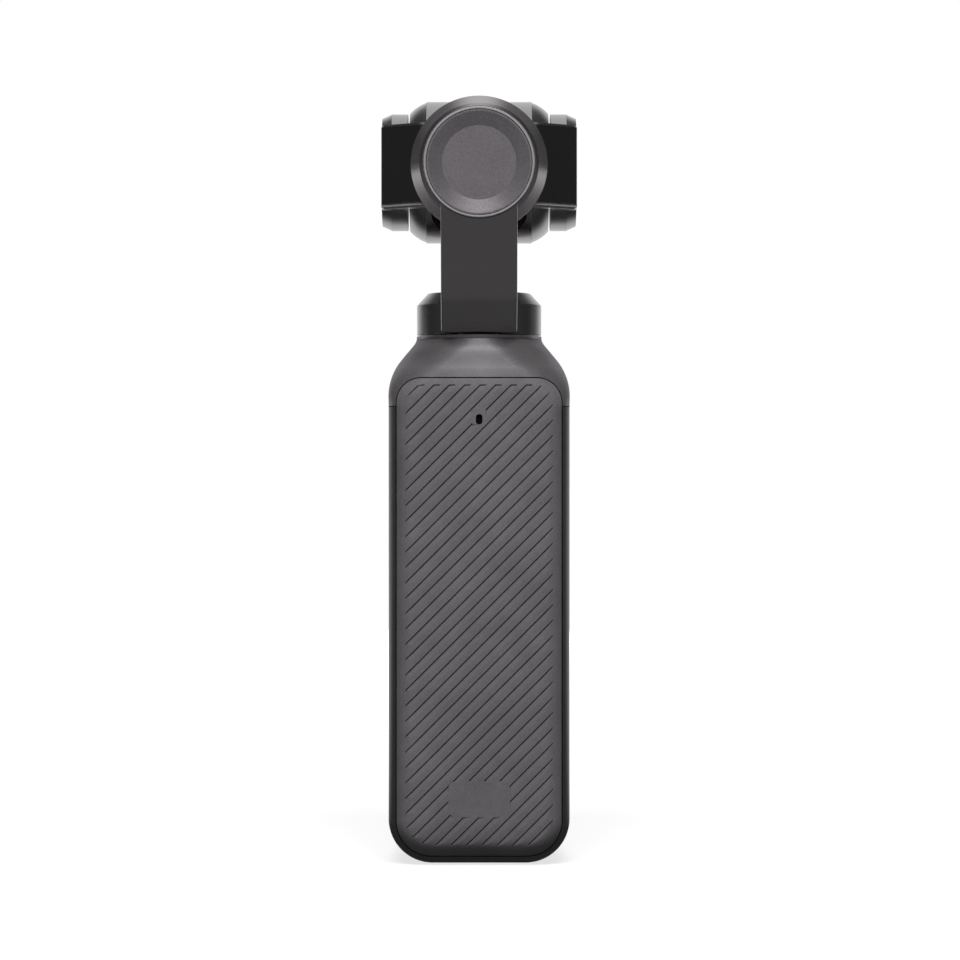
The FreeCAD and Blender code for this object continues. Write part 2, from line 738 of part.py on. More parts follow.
def make_top_shell():
    seat_height = NECK_HEIGHT - NECK_SEAT_DEPTH
    shell = shoulder_outside
    inner = HALF_GRIP - WALL
    room_top = SEAM_HEIGHT + SHOULDER_ROOM
    room_base = SEAM_HEIGHT - OVER
    lower = box(-inner, inner, PANEL_FLOOR + WALL, COVER_FLOOR - WALL, room_base, room_top)
    throat = cylinder(NECK_RADIUS - THROAT_WALL, V(0, 0, room_base), AXIS_Z, FAR)
    seat = cylinder(NECK_RADIUS - WALL, V(0, 0, seat_height), AXIS_Z, FAR)
    window_half = inner - BACK_EDGE
    window = box(-window_half, window_half, 0, COVER_FLOOR, room_base, room_top)
    shell = shell.cut([lower, throat, seat, window])
    shell = shell.cut(cover_outline(COVER_GAP, COVER_FLOOR, FAR))
    return shell.cut(panel_outline(COVER_GAP, -FAR, PANEL_FLOOR))


def make_front_panel():
    panel = grip_outside.common(panel_outline(0, -FAR, PANEL_FLOOR))
    stick = cylinder(STICK_HOLE_RADIUS, V(-CONTROL_OFFSET, -GRIP_FRONT - OVER, CONTROL_HEIGHT),
                     AXIS_Y, PANEL_THICKNESS + 2 * OVER)
    button = cylinder(BUTTON_RADIUS + BUTTON_GAP,
                      V(CONTROL_OFFSET, -GRIP_FRONT - OVER, CONTROL_HEIGHT),
                      AXIS_Y, PANEL_THICKNESS + 2 * OVER)
    bush = cylinder(PIVOT_RADIUS + PIVOT_RUNNING + BUSH_WALL,
                    V(0, -GRIP_FRONT - OVER, SCREEN_CENTRE), AXIS_Y, PANEL_THICKNESS + 2 * OVER)
    light = cylinder(LIGHT_RADIUS, V(0, -GRIP_FRONT - OVER, LIGHT_HEIGHT),
                     AXIS_Y, PANEL_THICKNESS + 2 * OVER)
    cuts = [stick, button, bush, light]
    for index in range(SPEAKER_HOLES):
        x = (index - (SPEAKER_HOLES - 1) / 2) * SPEAKER_HOLE_PITCH
        cuts.append(cylinder(SPEAKER_HOLE, V(x, -GRIP_FRONT - OVER, SPEAKER_CENTRE),
                             AXIS_Y, PANEL_THICKNESS + 2 * OVER))
    return panel.cut(cuts)


parts["rear_cover"] = make_rear_cover()
parts["side_frame"] = make_side_frame()
parts["top_shell"] = make_top_shell()
parts["front_panel"] = make_front_panel()


# Inside the grip

CHASSIS_BACK = CHASSIS_Y + CHASSIS_THICKNESS
CONTROL_BOARD_Y = PANEL_FLOOR + CONTROL_BOARD_DEPTH
POST_HEIGHTS = (CONTROL_BOARD_BASE + POST_LOW, CONTROL_BOARD_TOP - POST_HIGH)
POST_PLACES = [(side * POST_SPREAD, height) for side in (-1, 1) for height in POST_HEIGHTS]
MIC_TOWER_FACE = COVER_FLOOR - BOOT_LENGTH - MIC_BODY - BATTERY_GAP - TIGHT * 2


def make_chassis():
    """A pressed plate with rails, posts for the boards and a tower for the microphone."""
    half = CHASSIS_WIDTH / 2
    top = SEAM_HEIGHT - CHASSIS_TOP_GAP
    plate = plate_xz(half, CHASSIS_BASE, top,
                     [CHASSIS_CORNER, CHASSIS_CORNER, CHASSIS_TOP_GAP, CHASSIS_TOP_GAP],
                     CHASSIS_Y, CHASSIS_BACK)
    solids = []
    for side in (-1, 1):
        x0 = min(side * half, side * (half - RAIL_THICKNESS))
        rail = box(x0, x0 + RAIL_THICKNESS, CHASSIS_BACK - TIGHT, CHASSIS_BACK + RAIL_DEPTH,
                   BATTERY_BASE, BATTERY_BASE + BATTERY_HEIGHT)
        solids.append(rail)
    for x, height in POST_PLACES:
        solids.append(cylinder(POST_RADIUS, V(x, CHASSIS_Y + TIGHT, height), V(0, -1, 0),
                               CHASSIS_Y + TIGHT - CONTROL_BOARD_Y - BOARD_THICKNESS))
    standoff_top = MAIN_BOARD_TOP - STANDOFF_DROP
    for side in (-1, 1):
        solids.append(cylinder(POST_RADIUS, V(side * POST_SPREAD, CHASSIS_Y + TIGHT, standoff_top),
                               V(0, -1, 0), MAIN_BOARD_STANDOFF + TIGHT))
    tower_half = TOWER_WIDTH / 2
    tower_base = BATTERY_BASE + BATTERY_HEIGHT + TOWER_GAP
    tower = box(-tower_half, tower_half, CHASSIS_BACK - TIGHT, MIC_TOWER_FACE, tower_base, top)
    hollow_half = tower_half - TOWER_WALL
    tower = tower.cut(box(-hollow_half, hollow_half, CHASSIS_BACK + TOWER_FACE,
                          MIC_TOWER_FACE - TOWER_FACE, tower_base - OVER, SEAM_HEIGHT))
    solids.append(tower)
    chassis = plate.multiFuse(solids).removeSplitter()
    pivot_window = cylinder(PIVOT_RADIUS, V(0, CHASSIS_Y - OVER, SCREEN_CENTRE), AXIS_Y,
                            CHASSIS_THICKNESS + 2 * OVER)
    return chassis.cut(pivot_window)


def make_battery():
    """A wrapped pair of pouch cells with rounded long edges."""
    y0 = CHASSIS_BACK
    y1 = COVER_FLOOR - WALL - BATTERY_SWELL
    half = BATTERY_WIDTH / 2
    z0 = BATTERY_BASE
    points = [V(-half, y0, z0), V(half, y0, z0), V(half, y1, z0), V(-half, y1, z0)]
    return prism(points, [BATTERY_SIDE_ROUND] * 4, V(0, 0, BATTERY_HEIGHT))


def make_main_board():
    half = MAIN_BOARD_WIDTH / 2
    board = box(-half, half, BOARD_FRONT, BOARD_BACK, MAIN_BOARD_BASE, MAIN_BOARD_TOP)
    holes = [cylinder(POST_RADIUS + USB_CLEARANCE, V(x, BOARD_FRONT - OVER, z), AXIS_Y,
                      BOARD_THICKNESS + 2 * OVER) for x, z in POST_PLACES]
    return board.cut(holes)


def make_shield():
    """The can over the processor, with a row of vent holes."""
    half = SHIELD_WIDTH / 2
    inner = half - SHIELD_WALL
    y1 = BOARD_FRONT
    y0 = y1 - SHIELD_DEPTH
    z0 = SHIELD_BASE
    z1 = z0 + SHIELD_HEIGHT
    can = box(-half, half, y0, y1, z0, z1)
    can = can.cut(box(-inner, inner, y0 + SHIELD_WALL, y1, z0 + SHIELD_WALL, z1 - SHIELD_WALL))
    holes = []
    for index in range(SHIELD_HOLES):
        x = (index - (SHIELD_HOLES - 1) / 2) * SHIELD_HOLE_PITCH
        holes.append(cylinder(SHIELD_HOLE, V(x, y0 - OVER, z1 - SHIELD_HOLE_DROP), AXIS_Y,
                              OVER + 2 * SHIELD_WALL))
    return can.cut(holes)


def make_usb_socket():
    """The open metal shell of the port with its contact tongue."""
    z0 = USB_INSET
    z1 = z0 + USB_LENGTH
    shell = usb_outline(0, z0, z1)
    shell = shell.cut(usb_outline(-USB_WALL, z0 - OVER, z1 - USB_BACK_WALL))
    tongue_half = USB_TONGUE_WIDTH / 2
    tongue_depth = USB_TONGUE_THICKNESS / 2
    tongue = box(-tongue_half, tongue_half, USB_CENTRE - tongue_depth, USB_CENTRE + tongue_depth,
                 z0 + USB_TONGUE_INSET, z1 - USB_BACK_WALL + TIGHT)
    foot_half = USB_FOOT_WIDTH / 2
    foot = box(-foot_half, foot_half, USB_CENTRE, BOARD_FRONT, z1 - TIGHT, z1 + USB_FOOT_HEIGHT)
    return shell.multiFuse([tongue, foot]).removeSplitter()


def make_card_socket():
    """The spring-loaded card socket, open towards the slot in the side wall."""
    x0 = -HALF_GRIP + WALL + CARD_SOCKET_GAP
    y0 = CARD_Y - CARD_SOCKET_DEPTH / 2
    half = CARD_SOCKET_WIDTH / 2
    body = box(x0, x0 + CARD_SOCKET_LENGTH, y0, y0 + CARD_SOCKET_DEPTH,
               CARD_HEIGHT - half, CARD_HEIGHT + half)
    throat = box(x0 - OVER, x0 + CARD_THROAT_LENGTH, CARD_Y - CARD_SLOT_DEPTH / 2,
                 CARD_Y + CARD_SLOT_DEPTH / 2,
                 CARD_HEIGHT - CARD_LENGTH / 2, CARD_HEIGHT + CARD_LENGTH / 2)
    return body.cut(throat)


def make_speaker():
    y0 = PANEL_FLOOR
    half = SPEAKER_WIDTH / 2
    z0 = SPEAKER_CENTRE - SPEAKER_HEIGHT / 2
    points = [V(-half, y0, z0), V(half, y0, z0), V(half, y0, z0 + SPEAKER_HEIGHT),
              V(-half, y0, z0 + SPEAKER_HEIGHT)]
    body = prism(points, [SPEAKER_CORNER] * 4, V(0, SPEAKER_DEPTH, 0))
    rim = SPEAKER_RIM
    inner = [V(-half + rim, y0, z0 + rim), V(half - rim, y0, z0 + rim),
             V(half - rim, y0, z0 + SPEAKER_HEIGHT - rim),
             V(-half + rim, y0, z0 + SPEAKER_HEIGHT - rim)]
    return body.cut(prism(inner, [SPEAKER_CORNER - rim] * 4, V(0, SPEAKER_DISH, 0)))


def make_microphone():
    half = MIC_BODY_WIDTH / 2
    rise = MIC_BODY_HEIGHT / 2
    return box(-half, half, MIC_TOWER_FACE, MIC_TOWER_FACE + MIC_BODY,
               MIC_HEIGHT - rise, MIC_HEIGHT + rise)


def make_mic_boot():
    """A rubber collar that joins the hole in the cover to the microphone."""
    y0 = MIC_TOWER_FACE + MIC_BODY
    rise = BOOT_HEIGHT / 2
    boot = plate_xz(BOOT_WIDTH / 2, MIC_HEIGHT - rise, MIC_HEIGHT + rise, [BOOT_CORNER] * 4,
                    y0, COVER_FLOOR)
    bore = plate_xz(MIC_WIDTH / 2, MIC_HEIGHT - MIC_LENGTH / 2, MIC_HEIGHT + MIC_LENGTH / 2,
                    [MIC_WIDTH / 2 - TIGHT] * 4, y0 - OVER, COVER_FLOOR + OVER)
    return boot.cut(bore)


def make_control_board():
    half = POST_SPREAD + POST_RADIUS
    y0 = CONTROL_BOARD_Y
    board = plate_xz(half, CONTROL_BOARD_BASE, CONTROL_BOARD_TOP, [CONTROL_BOARD_CORNER] * 4,
                     y0, y0 + BOARD_THICKNESS)
    holes = [cylinder(SCREW_RADIUS + TIGHT, V(x, y0 - OVER, z), AXIS_Y,
                      BOARD_THICKNESS + 2 * OVER) for x, z in POST_PLACES]
    return board.cut(holes)


def make_screws():
    """Four small pan-head screws with cross slots, through the control board."""
    screws = []
    for x, z in POST_PLACES:
        face = CONTROL_BOARD_Y
        head = cylinder(SCREW_HEAD_RADIUS, V(x, face - SCREW_HEAD_HEIGHT, z), AXIS_Y,
                        SCREW_HEAD_HEIGHT)
        shank = cylinder(SCREW_RADIUS, V(x, face, z), AXIS_Y, SCREW_LENGTH)
        length = SCREW_CROSS_LENGTH / 2
        width = SCREW_CROSS_WIDTH / 2
        slot = box(x - length, x + length, face - SCREW_HEAD_HEIGHT - OVER,
                   face - SCREW_HEAD_HEIGHT + SCREW_CROSS_DEPTH, z - width, z + width)
        cross = slot.rotated(V(x, 0, z), AXIS_Y, 90)
        screws.append(head.fuse(shank).cut([slot, cross]))
    return Part.makeCompound(screws)


def screw_holes():
    return [cylinder(SCREW_RADIUS, V(x, CONTROL_BOARD_Y, z), AXIS_Y, SCREW_LENGTH)
            for x, z in POST_PLACES]


parts["inner_chassis"] = make_chassis().cut(screw_holes())
parts["chassis_screws"] = make_screws()
parts["battery"] = make_battery()
parts["main_board"] = make_main_board()
parts["shield_can"] = make_shield()
parts["usb_c_socket"] = make_usb_socket()
parts["card_socket"] = make_card_socket()
parts["speaker"] = make_speaker()
parts["rear_microphone"] = make_microphone()
parts["microphone_boot"] = make_mic_boot()
parts["control_board"] = make_control_board()


# Controls

STICK = V(-CONTROL_OFFSET, -STICK_PIVOT, CONTROL_HEIGHT)
BUTTON = V(CONTROL_OFFSET, 0, CONTROL_HEIGHT)
STICK_STEM_TOP = STICK_TOP - STICK_STEM_DROP
STICK_BORE_FLOOR = STICK_STEM_TOP + STICK_PRESS + TIGHT
BUTTON_STOP = PANEL_FLOOR + TIGHT
BUTTON_FOOT_END = BUTTON_STOP + BUTTON_FLANGE + BUTTON_FOOT_LENGTH


def make_stick_base():
    """The switch body: an open box with holes for the ring's pins."""
    half = STICK_BASE_SIZE / 2
    y1 = CONTROL_BOARD_Y
    y0 = y1 - STICK_BASE_DEPTH
    body = box(STICK.x - half, STICK.x + half, y0, y1, STICK.z - half, STICK.z + half)
    well = cylinder(RING_OUTER + RING_ROOM, V(STICK.x, y0 - OVER, STICK.z), AXIS_Y,
                    STICK_BASE_DEPTH + OVER - RING_ROOM)
    pins = cylinder(RING_PIN_RADIUS + RUNNING, V(STICK.x - half - OVER, STICK.y, STICK.z),
                    AXIS_X, STICK_BASE_SIZE + 2 * OVER)
    return body.cut([well, pins])


def make_stick_ring():
    """The ring that tilts up and down on two pins, and carries the stem on two more."""
    start = V(STICK.x, STICK.y - RING_THICKNESS / 2, STICK.z)
    ring = tube(RING_OUTER, RING_INNER, start, AXIS_Y, RING_THICKNESS)
    reach = STICK_BASE_SIZE / 2 - PIN_SPARE
    pins = cylinder(RING_PIN_RADIUS, V(STICK.x - reach, STICK.y, STICK.z), AXIS_X, 2 * reach)
    gap = cylinder((RING_INNER + RING_OUTER) / 2, start, AXIS_Y, RING_THICKNESS)
    ring = ring.fuse(pins.cut(gap)).removeSplitter()
    holes = cylinder(RING_PIN_RADIUS + RUNNING, V(STICK.x, STICK.y, STICK.z - RING_OUTER - OVER),
                     AXIS_Z, 2 * (RING_OUTER + OVER))
    return ring.cut(holes)


def make_stick_stem():
    length = STICK_STEM_TOP - STICK_PIVOT + STICK_STEM_TAIL
    stem = cylinder(STICK_STEM_RADIUS, V(STICK.x, -STICK_STEM_TOP, STICK.z), AXIS_Y, length)
    reach = RING_OUTER - PIN_SPARE / 2
    pins = cylinder(RING_PIN_RADIUS, V(STICK.x, STICK.y, STICK.z - reach), AXIS_Z, 2 * reach)
    return stem.fuse(pins).removeSplitter()


def make_stick_cap():
    """A dished thumb cap that slides on the stem when it is pressed."""
    top = -STICK_TOP
    centre = V(STICK.x, 0, STICK.z)
    skirt = top + STICK_CAP_HEIGHT
    crown = STICK_CAP_CROWN
    fall = STICK_CAP_FALL
    points = [V(STICK.x, top + STICK_CAP_DISH, STICK.z),
              V(STICK.x + STICK_CAP_DISH_RADIUS, top, STICK.z),
              V(STICK.x + STICK_CAP_RADIUS - crown, top + fall, STICK.z),
              V(STICK.x + STICK_CAP_RADIUS, top + crown + fall, STICK.z),
              V(STICK.x + STICK_CAP_RADIUS, top + STICK_CAP_SIDE, STICK.z),
              V(STICK.x + STICK_CAP_NECK, skirt, STICK.z), V(STICK.x, skirt, STICK.z)]
    cap = turned(points, centre, AXIS_Y)
    bore = cylinder(STICK_STEM_RADIUS + RUNNING, V(STICK.x, -STICK_BORE_FLOOR, STICK.z), AXIS_Y,
                    STICK_CAP_HEIGHT + 2 * OVER)
    return cap.cut(bore)


def make_button():
    """A round button with a flange behind the panel and a foot over its switch."""
    front = -GRIP_FRONT - BUTTON_PROUD
    flange_front = BUTTON_STOP
    edge = BUTTON_EDGE
    flange = BUTTON_RADIUS + BUTTON_FLANGE_REACH
    foot = BUTTON_FOOT_RADIUS
    foot_end = BUTTON_FOOT_END
    points = [(0, front), (BUTTON_RADIUS - edge, front), (BUTTON_RADIUS, front + edge),
              (BUTTON_RADIUS, flange_front), (flange, flange_front),
              (flange, flange_front + BUTTON_FLANGE), (foot, flange_front + BUTTON_FLANGE),
              (foot, foot_end), (0, foot_end)]
    outline = [V(BUTTON.x + radius, y, BUTTON.z) for radius, y in points]
    button = turned(outline, V(BUTTON.x, 0, BUTTON.z), AXIS_Y)
    return button.cut(cylinder(INLAY_RADIUS, V(BUTTON.x, front, BUTTON.z), AXIS_Y, INLAY_DEPTH))


def make_inlay():
    front = -GRIP_FRONT - BUTTON_PROUD
    return cylinder(INLAY_RADIUS, V(BUTTON.x, front, BUTTON.z), AXIS_Y, INLAY_DEPTH)


def make_record_switch():
    """A square switch with a round plunger, one travel behind the button's foot."""
    y1 = CONTROL_BOARD_Y
    half = SWITCH_WIDTH / 2
    plunger_top = BUTTON_FOOT_END + BUTTON_TRAVEL + TIGHT
    body_top = plunger_top + SWITCH_PLUNGER_LENGTH
    body = box(BUTTON.x - half, BUTTON.x + half, body_top, y1, BUTTON.z - half, BUTTON.z + half)
    plunger = cylinder(SWITCH_PLUNGER_RADIUS, V(BUTTON.x, plunger_top, BUTTON.z), AXIS_Y,
                       SWITCH_PLUNGER_LENGTH + TIGHT)
    return body.fuse(plunger).removeSplitter()


def make_light_pipe():
    """A clear rod from the lamp on the control board to the hole in the panel."""
    length = CONTROL_BOARD_Y + GRIP_FRONT
    rod = cylinder(LIGHT_RADIUS - TIGHT, V(0, -GRIP_FRONT, LIGHT_HEIGHT), AXIS_Y, length)
    shoulder = cylinder(LIGHT_RADIUS + LIGHT_SHOULDER, V(0, PANEL_FLOOR, LIGHT_HEIGHT), AXIS_Y,
                        LIGHT_SHOULDER_LENGTH)
    return rod.fuse(shoulder).removeSplitter()


parts["joystick_base"] = make_stick_base()
parts["joystick_ring"] = make_stick_ring()
parts["joystick_stem"] = make_stick_stem()
parts["joystick_cap"] = make_stick_cap()
parts["record_button"] = make_button()
parts["record_inlay"] = make_inlay()
parts["record_switch"] = make_record_switch()
parts["status_light_pipe"] = make_light_pipe()


# Screen

SCREEN_BACK = -GRIP_FRONT - SCREEN_GAP
SCREEN_FACE = SCREEN_BACK - SCREEN_DEPTH
SCREEN_AXIS = V(0, 0, SCREEN_CENTRE)


def screen_plate(half_width, half_height, corner, y0, y1):
    return plate_xz(half_width, SCREEN_CENTRE - half_height, SCREEN_CENTRE + half_height,
                    [corner] * 4, y0, y1)


def make_screen_frame():
    """A shallow tray with rounded back edges. The glass lies in its rim."""
    half_width = SCREEN_WIDTH / 2
    half_height = SCREEN_HEIGHT / 2
    frame = screen_plate(half_width, half_height, SCREEN_CORNER, SCREEN_FACE, SCREEN_BACK)
    back_edges = [edge for edge in frame.Edges
                  if abs(edge.BoundBox.YMin - SCREEN_BACK) < SNAP]
    frame = frame.makeFillet(SCREEN_BACK_ROUND, back_edges)
    glass_floor = SCREEN_FACE + GLASS_THICKNESS
    glass_bed = screen_plate(half_width - GLASS_MARGIN + TIGHT, half_height - GLASS_MARGIN + TIGHT,
                             SCREEN_CORNER - GLASS_MARGIN + TIGHT, SCREEN_FACE - OVER, glass_floor)
    display_bed = screen_plate(DISPLAY_WIDTH / 2 + TIGHT, DISPLAY_HEIGHT / 2 + TIGHT,
                               DISPLAY_CORNER, SCREEN_FACE, glass_floor + DISPLAY_THICKNESS)
    bore = cylinder(PIVOT_BORE, V(0, SCREEN_FACE, SCREEN_CENTRE), AXIS_Y, SCREEN_DEPTH + OVER)
    return frame.cut([glass_bed, display_bed, bore])


def make_screen_pivot():
    """The hollow shaft on the screen's back, with a collar that keeps it in its bush."""
    length = SCREEN_GAP + PANEL_THICKNESS + BUSH_LENGTH + COLLAR_GAP
    shaft = tube(PIVOT_RADIUS, PIVOT_BORE, V(0, SCREEN_BACK, SCREEN_CENTRE), AXIS_Y, length)
    collar = tube(PIVOT_RADIUS + BUSH_WALL, PIVOT_BORE,
                  V(0, SCREEN_BACK + length, SCREEN_CENTRE), AXIS_Y, COLLAR_THICKNESS)
    return shaft.fuse(collar).removeSplitter()


def make_screen_bush():
    """A flanged bush in the front panel."""
    bore = PIVOT_RADIUS + PIVOT_RUNNING
    outer = bore + BUSH_WALL
    start = V(0, -GRIP_FRONT, SCREEN_CENTRE)
    length = PANEL_THICKNESS + BUSH_LENGTH
    sleeve = tube(outer, bore, start, AXIS_Y, length)
    flange = tube(outer + BUSH_FLANGE, bore, V(0, PANEL_FLOOR, SCREEN_CENTRE), AXIS_Y,
                  BUSH_FLANGE_THICKNESS)
    return sleeve.fuse(flange).removeSplitter()


def make_display():
    y0 = SCREEN_FACE + GLASS_THICKNESS
    return screen_plate(DISPLAY_WIDTH / 2, DISPLAY_HEIGHT / 2, DISPLAY_CORNER,
                        y0, y0 + DISPLAY_THICKNESS)


def make_glass():
    glass = screen_plate(SCREEN_WIDTH / 2 - GLASS_MARGIN, SCREEN_HEIGHT / 2 - GLASS_MARGIN,
                         SCREEN_CORNER - GLASS_MARGIN, SCREEN_FACE, SCREEN_FACE + GLASS_THICKNESS)
    front_edges = [edge for edge in glass.Edges
                   if abs(edge.BoundBox.YMax - SCREEN_FACE) < SNAP]
    return glass.makeChamfer(GLASS_BEVEL, front_edges)


parts["screen_frame"] = make_screen_frame()
parts["screen_pivot"] = make_screen_pivot()
parts["screen_bush"] = make_screen_bush()
parts["display_panel"] = make_display()
parts["screen_glass"] = make_glass()


# Pan motor, on the neck

PAN_SEAT = NECK_HEIGHT - NECK_SEAT_DEPTH
PAN_BASE_TOP = PAN_SEAT + PAN_PLATE_THICKNESS
ROTOR_BASE = NECK_HEIGHT + PAN_GAP
ROTOR_INSIDE = ROTOR_TOP - ROTOR_ROOF
PAN_CORE_START = ROTOR_BASE + PAN_CORE_GAP
PAN_HUB_TOP = ROTOR_INSIDE - MOTOR_CLEARANCE


def make_pan_base():
    """The plate that sits in the neck and carries the stator on a hub."""
    plate = cylinder(NECK_RADIUS - WALL - TIGHT, V(0, 0, PAN_SEAT), AXIS_Z, PAN_BASE_TOP - PAN_SEAT)
    hub = cylinder(HUB_RADIUS, V(0, 0, PAN_SEAT), AXIS_Z, PAN_HUB_TOP - PAN_SEAT)
    bore = cylinder(BEARING_OUTER, V(0, 0, PAN_BASE_TOP), AXIS_Z, FAR)
    hole = cylinder(BEARING_OUTER - BEARING_SINK, V(0, 0, 0), AXIS_Z, 2 * HEAD_HEIGHT)
    return plate.fuse(hub).cut([bore, hole]).removeSplitter()


def make_rotor_housing():
    """The plain bell with a broad chamfer that covers the pan motor."""
    inner = CUP_RADIUS
    points = [(inner, ROTOR_BASE), (ROTOR_RADIUS, ROTOR_BASE),
              (ROTOR_RADIUS, ROTOR_TOP - ROTOR_CHAMFER_HEIGHT),
              (ROTOR_RADIUS - ROTOR_CHAMFER_WIDTH, ROTOR_TOP), (SHAFT_RADIUS, ROTOR_TOP),
              (SHAFT_RADIUS, ROTOR_INSIDE), (inner, ROTOR_INSIDE)]
    return turned([V(radius, 0, height) for radius, height in points], V(0, 0, 0), AXIS_Z)


def make_pan_shaft():
    start = PAN_BASE_TOP + MOTOR_CLEARANCE
    return cylinder(SHAFT_RADIUS, V(0, 0, start), AXIS_Z, ROTOR_TOP - start)


parts["pan_motor_base"] = make_pan_base()
parts["pan_stator"] = wound_stator(PAN_CORE_START, PAN_CORE_HEIGHT, PAN_COIL_OVERHANG)
parts["pan_bearings"] = Part.makeCompound([bearing(PAN_BASE_TOP),
                                           bearing(PAN_HUB_TOP - BEARING_WIDTH)])
parts["pan_shaft"] = make_pan_shaft()
parts["pan_magnets"] = tube(MAGNET_OUTER, MAGNET_INNER, V(0, 0, PAN_CORE_START - TOOTH_ROOT), AXIS_Z,
                            PAN_CORE_HEIGHT + 2 * TOOTH_ROOT)
parts["pan_rotor_cup"] = tube(CUP_RADIUS, MAGNET_OUTER, V(0, 0, ROTOR_BASE + MOTOR_CLEARANCE),
                              AXIS_Z, ROTOR_INSIDE - ROTOR_BASE - MOTOR_CLEARANCE)
rotor_housing = make_rotor_housing()
rotor_solid = cylinder(ROTOR_RADIUS, V(0, 0, ROTOR_BASE), AXIS_Z,
                       ROTOR_TOP - ROTOR_CHAMFER_HEIGHT - ROTOR_BASE)
rotor_chamfer = Part.makeCone(ROTOR_RADIUS, ROTOR_RADIUS - ROTOR_CHAMFER_WIDTH,
                              ROTOR_CHAMFER_HEIGHT, V(0, 0, ROTOR_TOP - ROTOR_CHAMFER_HEIGHT))
rotor_solid = rotor_solid.fuse(rotor_chamfer).removeSplitter()
parts["pan_rotor_housing"] = rotor_housing


# Arm and roll motor drum

DRUM_INSIDE = DRUM_BACK - DRUM_FLOOR


def arm_back(height):
    return ARM_BACK_AT_FOOT + ARM_LEAN * (height - ARM_FOOT_HEIGHT)


def make_arm():
    """The side outline of the arm, swept across its width, with softened back edges."""
    half = ARM_WIDTH / 2
    top = HEAD_HEIGHT - math.sqrt(CAP_RADIUS ** 2 - half ** 2) + ARM_TOP_HOLD
    shelf = ROTOR_TOP + ARM_SHELF
    sweep_low = HEAD_HEIGHT - YOKE_HALF_WIDTH - ARM_SWEEP_LOW
    sweep_high = HEAD_HEIGHT - YOKE_HUB_RADIUS - ARM_SWEEP_HIGH
    points = [V(-half, ARM_ROOT, ROTOR_BASE), V(-half, ARM_FOOT_REACH, ROTOR_BASE),
              V(-half, arm_back(ARM_FOOT_HEIGHT), ARM_FOOT_HEIGHT),
              V(-half, arm_back(top), top), V(-half, DRUM_FRONT, top),
              V(-half, DRUM_FRONT, sweep_high), V(-half, YOKE_SIDE_START + ARM_TOE, sweep_low),
              V(-half, ARM_ROOT, shelf)]
    radii = [0, ARM_HEEL, ARM_FOOT_ROUND - ARM_HEEL, 0, 0, ARM_BENDS[0], ARM_BENDS[1], 0]
    arm = prism(points, radii, V(ARM_WIDTH, 0, 0))
    edges = []
    for edge in arm.Edges:
        bounds = edge.BoundBox
        on_side = bounds.XLength < SNAP and abs(abs(bounds.XMin) - half) < SNAP
        behind = bounds.YMin > ARM_FOOT_REACH and edge.CenterOfMass.y > arm_back(
            edge.CenterOfMass.z) - TIGHT
        if on_side and behind and bounds.ZLength > ARM_FOOT_ROUND / 2:
            edges.append(edge)
    return arm.makeFillet(ARM_EDGE, edges)


def make_drum():
    """The round housing of the roll motor, with a rim and a cone up to the cap."""
    rim_edge = DRUM_EDGE
    y0 = DRUM_FRONT
    y1 = DRUM_FRONT + DRUM_RIM_LENGTH
    points = [(0, DRUM_INSIDE), (DRUM_BORE, DRUM_INSIDE), (DRUM_BORE, y0),
              (DRUM_RADIUS - rim_edge, y0), (DRUM_RADIUS, y0 + rim_edge), (DRUM_RADIUS, y1),
              (DRUM_BACK_RADIUS + DRUM_SHOULDER_WIDTH, DRUM_BACK - DRUM_SHOULDER_DEPTH),
              (DRUM_BACK_RADIUS, DRUM_BACK), (0, DRUM_BACK)]
    outline = [V(radius, y, HEAD_HEIGHT) for radius, y in points]
    return turned(outline, HEAD, AXIS_Y)


ROLL_HUB_FRONT = DRUM_FRONT + ROLL_HUB_GAP


def make_pan_arm():
    """Arm and drum are one casting, with the hub for the roll bearings inside the drum."""
    casting = make_arm().fuse(make_drum())
    hub = cylinder(HUB_RADIUS, V(0, ROLL_HUB_FRONT, HEAD_HEIGHT), AXIS_Y,
                   DRUM_INSIDE - ROLL_HUB_FRONT + TIGHT)
    room = cylinder(DRUM_BORE, V(0, 0, HEAD_HEIGHT), AXIS_Y, DRUM_INSIDE)
    bore = cylinder(BEARING_OUTER, V(0, 0, HEAD_HEIGHT), AXIS_Y, DRUM_INSIDE)
    casting = casting.cut(room).fuse(hub).cut(bore)
    cap_seat = cylinder(CAP_RADIUS + TIGHT, V(0, DRUM_BACK, HEAD_HEIGHT), AXIS_Y, FAR)
    return casting.cut([rotor_solid, cap_seat, ribbon_pocket()]).removeSplitter()


# The flat cable lies in a pocket in the sloping front of the arm, under a thin cover.
SLOPE_LOW = V(0, YOKE_SIDE_START + ARM_TOE, HEAD_HEIGHT - YOKE_HALF_WIDTH - ARM_SWEEP_LOW)
SLOPE_HIGH = V(0, DRUM_FRONT, HEAD_HEIGHT - YOKE_HUB_RADIUS - ARM_SWEEP_HIGH)
SLOPE_ALONG = (SLOPE_HIGH - SLOPE_LOW).normalize()
SLOPE_OUT = V(0, -SLOPE_ALONG.z, SLOPE_ALONG.y)


def slope_plate(half_width, margin, top_depth, bottom_depth):
    """A plate parallel to the arm's sloping front, between two depths under it."""
    start = SLOPE_LOW + SLOPE_ALONG * margin - SLOPE_OUT * bottom_depth
    end = SLOPE_HIGH - SLOPE_ALONG * margin - SLOPE_OUT * bottom_depth
    lift = SLOPE_OUT * (bottom_depth - top_depth)
    shift = V(-half_width, 0, 0)
    points = [start + shift, end + shift, end + lift + shift, start + lift + shift]
    return Part.Face(Part.makePolygon(points + [points[0]])).extrude(V(2 * half_width, 0, 0))


def ribbon_pocket():
    return slope_plate(POCKET_HALF, POCKET_MARGIN, -OVER, POCKET_DEPTH)


